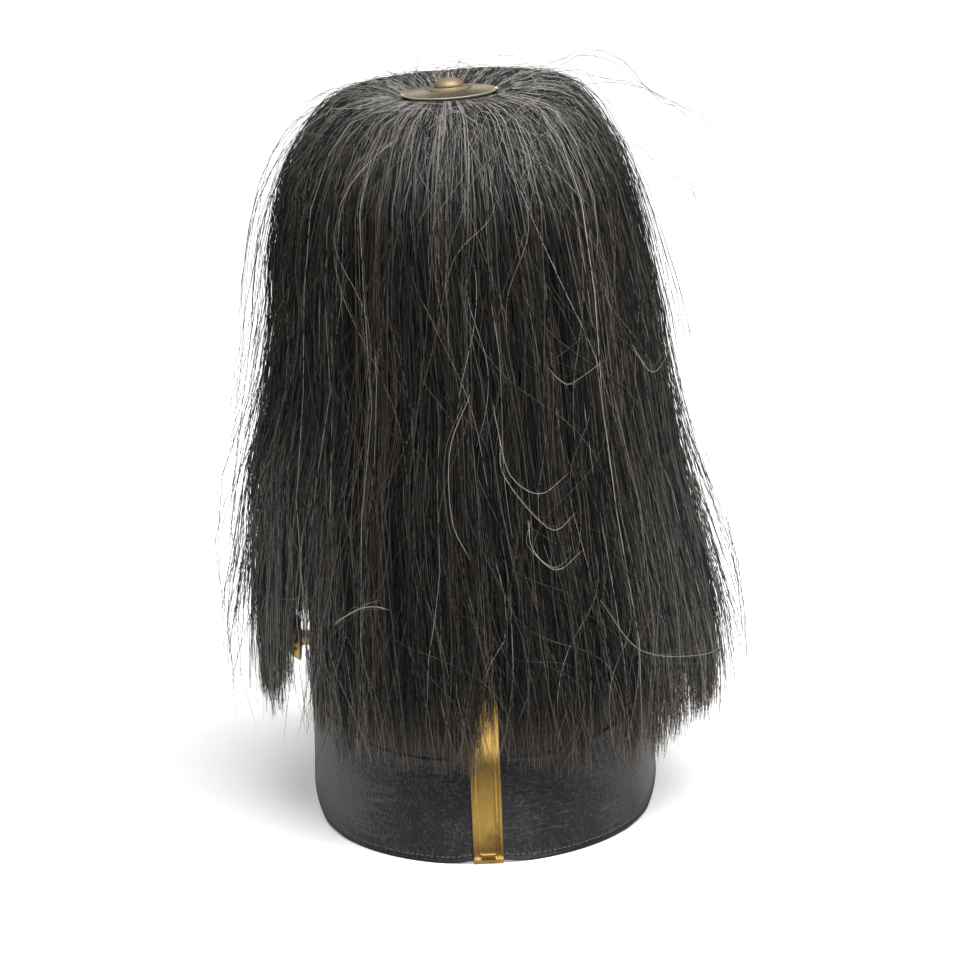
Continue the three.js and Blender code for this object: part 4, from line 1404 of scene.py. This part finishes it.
def build_hair(settings):
    """All strands: the falling ones as one piece a sector, the loose ones as one piece."""
    hair = settings.hair
    material = hair_finish("Horsehair", hair)
    rng = np.random.default_rng(hair.seed)
    sets = [
        falling_strands(rng, hair.full_count, True, hair),
        falling_strands(rng, hair.low_count, False, hair),
    ]
    sectors = 5
    for sector in range(sectors):
        low, high = sector / sectors * TURN, (sector + 1) / sectors * TURN
        groups = []
        for paths, thick, tone, fall, angle in sets:
            pick = (angle >= low) & (angle < high)
            groups.append((paths[pick], thick[pick], tone[pick], fall[pick]))
        thing = strand_object(f"plume_hair_{sector + 1}", groups, material)
        finish_piece(thing, ["plume"])
    loose = [
        loose_strands(rng, hair.loose_count, hair),
        stray_strands(rng, hair.stray_count, hair),
        short_strands(rng, hair.top_count, hair),
        curled_hairs(hair),
    ]
    thing = strand_object("plume_loose_hair", loose, material)
    finish_piece(thing, ["plume"])


# Stage


def area_light(name, place, aim, size, power):
    """A white rectangle of light that faces aim."""
    light = bpy.data.lights.new(name, "AREA")
    light.shape = "RECTANGLE"
    light.size, light.size_y = size
    light.energy = power
    thing = linked(name, light)
    thing.location = place
    way = Vector(aim) - Vector(place)
    thing.rotation_euler = way.to_track_quat("-Z", "Y").to_euler()


def build_stage(settings):
    """Floor, world, lights and camera."""
    stage = settings.stage
    scene = bpy.context.scene
    bpy.ops.mesh.primitive_plane_add(size=14.0, location=(0.0, 0.0, 0.0))
    floor = bpy.context.object
    floor.name = "studio_floor"
    floor.data.materials.append(floor_finish("Pale floor", stage))
    world = bpy.data.worlds.new("Studio")
    scene.world = world
    world.use_nodes = True
    sky = Tree(world.node_tree)
    world.node_tree.nodes.clear()
    seen = sky.wire("ShaderNodeLightPath", output="Is Camera Ray")
    strength = seen * (1.0 - stage.sky) + stage.sky
    glow = sky.add("ShaderNodeBackground", None, {"Color": (1.0, 1.0, 1.0, 1.0), "Strength": strength})
    out = sky.add("ShaderNodeOutputWorld")
    world.node_tree.links.new(glow.outputs[0], out.inputs[0])
    middle = (0.0, 0.0, 0.22)
    area_light("over_light", (-0.25, 0.72, 1.85), middle, (1.6, 1.4), stage.over)
    area_light("left_light", (1.7, 0.45, 0.55), middle, (0.7, 1.2), stage.side)
    area_light("right_light", (-1.7, 0.55, 0.6), middle, (0.8, 1.2), stage.side * 1.15)
    sun = bpy.data.lights.new("sun", "SUN")
    sun.energy = stage.sun
    sun.angle = math.radians(22.0)
    way = Vector((1.0, -0.55, -1.5))
    linked("sun", sun).rotation_euler = way.to_track_quat("-Z", "Y").to_euler()
    scene.view_settings.view_transform = "Standard"
    scene.view_settings.look = "None"
    scene.view_settings.exposure = stage.exposure
    camera = bpy.data.cameras.new("camera")
    camera.lens = CAMERA["lens"]
    camera.sensor_width = SENSOR
    camera.clip_end = 50.0
    thing = linked("camera", camera)
    right, up, back, stand = camera_axes()
    turn = Matrix((right, up, back)).transposed().to_4x4()
    thing.matrix_world = Matrix.Translation(Vector(stand * MM)) @ turn
    scene.camera = thing


# Settings that a user would change


def colour(name, description, default):
    return bpy.props.FloatVectorProperty(
        name=name, description=description, subtype="COLOR", min=0.0, max=1.0, default=default,
    )


def number(name, description, default, low=0.0, high=1.0, unit="NONE"):
    return bpy.props.FloatProperty(
        name=name, description=description, min=low, max=high, unit=unit, default=default,
    )


def whole(name, description, default, low, high):
    return bpy.props.IntProperty(
        name=name, description=description, min=low, max=high, default=default,
    )


class LeatherSettings(bpy.types.PropertyGroup):
    """Leather and its stitching."""

    deep: colour("Deep colour", "Colour of the sound leather", (0.0045, 0.0055, 0.0075))
    # Also the colour of the painted sheen and the painted highlights on the creases
    worn_and_sheen: colour("Worn colour", "Colour where the lacquer is rubbed", (0.058, 0.060, 0.066))
    thread: colour("Thread colour", "Colour of the waxed thread", (0.20, 0.19, 0.17))
    roughness: number("Roughness", "Roughness of the lacquered leather", 0.36)
    stitch_pitch: number("Stitch pitch", "Millimetres from one stitch to the next", 2.9, 1.0, 8.0)
    stitch_height: number("Stitch height", "Millimetres from the edge to the seam", 3.0, 1.0, 8.0)


class BrassSettings(bpy.types.PropertyGroup):
    """Brass fittings."""

    gold: colour("Gold", "Colour of the clean brass", (0.62, 0.395, 0.105))
    # Also the colour of the painted shade at the strip's lower end
    stain: colour("Stain", "Colour of the stains on the brass", (0.185, 0.108, 0.034))
    aged: colour("Aged brass", "Colour of the dull brass of the cap", (0.35, 0.31, 0.235))
    tarnish: colour("Tarnish", "Colour of the tarnish on the cap", (0.24, 0.205, 0.145))
    knob: colour("Knob colour", "Golden brown of the knob", (0.235, 0.175, 0.085))
    lip: colour("Lip colour", "Pale edge of the cap", (0.62, 0.58, 0.47))
    gold_roughness: number("Brass roughness", "Roughness of the clean brass", 0.26)
    aged_roughness: number("Aged roughness", "Roughness of the dull brass", 0.38)
    # Strength of the painted shade between the cap's ribs
    groove_shade_strength: number("Groove shade", "How dark the cap is between its ribs", 0.85)
    rib_count: whole("Ribs", "Number of ribs round the cap", 84, 12, 240)
    rib_width: number("Rib width", "Width of one rib in millimetres", 0.58, 0.1, 2.0)


class HairSettings(bpy.types.PropertyGroup):
    """Hair of the plume."""

    full_count: whole("Long strands", "Strands that fall from the cap", 5600, 100, 20000)
    low_count: whole("Short strands", "Strands that start lower down", 7200, 100, 20000)
    loose_count: whole("Loose hairs", "Thin hairs that stand off", 1500, 0, 4000)
    stray_count: whole("Stray hairs", "Hairs that lie across the others", 600, 0, 4000)
    top_count: whole("Top hairs", "Short hairs over the top of the plume", 800, 0, 4000)
    tuft_count: whole("Tufts", "Pointed ends round the plume", 64, 8, 200)
    lock_count: whole("Locks", "Locks whose strands wander together", 120, 8, 400)
    curl_copies: whole("Curls", "Hairs in each curled wisp", 3, 1, 8)
    thickness: number("Thickness", "Width of one strand in millimetres", 0.40, 0.1, 2.0)
    ragged: number("Raggedness", "Mean height in mm of ends over the tips", 18.0, 0.0, 90.0)
    sway: number("Sway", "Sideways wandering of a strand in millimetres", 5.0, 0.0, 30.0)
    stand_off: number("Stand-off", "How far loose hairs stand off in millimetres", 10.0, 0.0, 30.0)
    reach: number("Reach", "Furthest that a loose hair stands off, in mm", 13.0, 0.0, 30.0)
    outer_share: number("Outer share", "Share of the strands that lie over the dense hair", 0.05)
    pull: number("Pull", "How far strands draw together in their lock", 0.3)
    under_rise: number("Under rise", "Height of the inner body's end over the tips", 34.0, 0.0, 150.0)
    bleach: number("Bleached tips", "How far the tips are bleached", 0.65)
    # Also the colour of the painted sheen at the top and on the sides of the hair
    dust_and_sheen: colour("Dust", "Colour of the dusty hair at the plume's top", (0.350, 0.336, 0.312))
    tip: colour("Tip colour", "Colour of the bleached tips", (0.210, 0.160, 0.115))
    roughness: number("Roughness", "Roughness of the hair", 0.38)
    seed: whole("Seed", "Seed of the strands", 7, 0, 9999)


class StageSettings(bpy.types.PropertyGroup):
    """Floor and light."""

    floor: colour("Floor", "Colour of the floor", (0.86, 0.86, 0.86))
    floor_glow: number("Floor glow", "Light that the floor gives by itself", 0.85, 0.0, 2.0)
    sky: number("Sky", "Strength of the light all round", 0.14, 0.0, 5.0)
    over: number("Over light", "Power of the large light overhead", 58.0, 0.0, 1000.0, "POWER")
    side: number("Side light", "Power of the lights on each side", 3.1, 0.0, 1000.0, "POWER")
    sun: number("Sun", "Strength of the soft far light", 1.0, 0.0, 20.0)
    exposure: number("Exposure", "Exposure in stops", 0.0, -5.0, 5.0)


class HelmetSettings(bpy.types.PropertyGroup):
    """All settings of the helmet."""

    leather: bpy.props.PointerProperty(type=LeatherSettings)
    brass: bpy.props.PointerProperty(type=BrassSettings)
    hair: bpy.props.PointerProperty(type=HairSettings)
    stage: bpy.props.PointerProperty(type=StageSettings)


# Operators


class HELMET_OT_stage(bpy.types.Operator):
    """Build the floor, the light and the camera"""

    bl_idname = "helmet.stage"
    bl_label = "Stage"

    def execute(self, context):
        build_stage(context.scene.helmet)
        return {"FINISHED"}


class HELMET_OT_skull(bpy.types.Operator):
    """Build the hollow leather skull"""

    bl_idname = "helmet.skull"
    bl_label = "Leather skull"

    def execute(self, context):
        build_skull(context.scene.helmet)
        return {"FINISHED"}


class HELMET_OT_visors(bpy.types.Operator):
    """Build the rear and front visors and the stitching"""

    bl_idname = "helmet.visors"
    bl_label = "Visors"

    def execute(self, context):
        settings = context.scene.helmet
        build_visor("rear_visor_leather", "rear_visor", REAR, REAR_EDGE, -4.0, settings, 1.1)
        build_visor("front_visor_leather", "front_visor", FRONT, FRONT_EDGE, 9.0, settings, 0.0)
        build_stitches(settings)
        return {"FINISHED"}


class HELMET_OT_spine(bpy.types.Operator):
    """Build the ridged brass strip down the back"""

    bl_idname = "helmet.spine"
    bl_label = "Brass spine"

    def execute(self, context):
        build_spine(context.scene.helmet)
        return {"FINISHED"}


class HELMET_OT_bosses(bpy.types.Operator):
    """Build the fluted boss on each side"""

    bl_idname = "helmet.bosses"
    bl_label = "Side bosses"

    def execute(self, context):
        settings = context.scene.helmet
        build_boss("side_boss_left_brass", "side_boss_left", 1.0, settings)
        build_boss("side_boss_right_brass", "side_boss_right", -1.0, settings)
        return {"FINISHED"}


class HELMET_OT_cap(bpy.types.Operator):
    """Build the plume's ribbed cap and its knob, and finish the holder"""

    bl_idname = "helmet.cap"
    bl_label = "Cap and knob"

    def execute(self, context):
        settings = context.scene.helmet
        build_cap(settings)
        build_ribs(settings)
        build_folds(settings)
        build_knob(settings)
        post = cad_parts["plume_post"]
        post.data.materials.clear()
        post.data.materials.append(aged_finish("Tarnished brass", settings.brass))
        return {"FINISHED"}


class HELMET_OT_hair(bpy.types.Operator):
    """Build the falling hair of the plume"""

    bl_idname = "helmet.hair"
    bl_label = "Hair plume"

    def execute(self, context):
        settings = context.scene.helmet
        build_under(settings)
        build_hair(settings)
        return {"FINISHED"}


class HELMET_PT_panel(bpy.types.Panel):
    """Lists the helmet's pieces and their settings"""

    bl_idname = "HELMET_PT_panel"
    bl_label = "Parade helmet"
    bl_space_type = "VIEW_3D"
    bl_region_type = "UI"
    bl_category = "Helmet"

    def draw(self, context):
        layout = self.layout
        for operator in OPERATORS:
            layout.operator(operator.bl_idname)
        settings = context.scene.helmet
        for group in (settings.leather, settings.brass, settings.hair, settings.stage):
            box = layout.box()
            for name in group.__annotations__:
                box.prop(group, name)


GROUPS = (LeatherSettings, BrassSettings, HairSettings, StageSettings, HelmetSettings)
OPERATORS = (
    HELMET_OT_stage, HELMET_OT_skull, HELMET_OT_visors, HELMET_OT_spine,
    HELMET_OT_bosses, HELMET_OT_cap, HELMET_OT_hair,
)


def register():
    for item in (*GROUPS, *OPERATORS, HELMET_PT_panel):
        bpy.utils.register_class(item)
    bpy.types.Scene.helmet = bpy.props.PointerProperty(type=HelmetSettings)


def unregister():
    del bpy.types.Scene.helmet
    for item in reversed((*GROUPS, *OPERATORS, HELMET_PT_panel)):
        bpy.utils.unregister_class(item)


def main():
    register()
    bpy.ops.helmet.stage()
    bpy.ops.helmet.skull()
    bpy.ops.helmet.visors()
    bpy.ops.helmet.spine()
    bpy.ops.helmet.bosses()
    bpy.ops.helmet.cap()
    bpy.ops.helmet.hair()


if __name__ == "__main__":
    main()
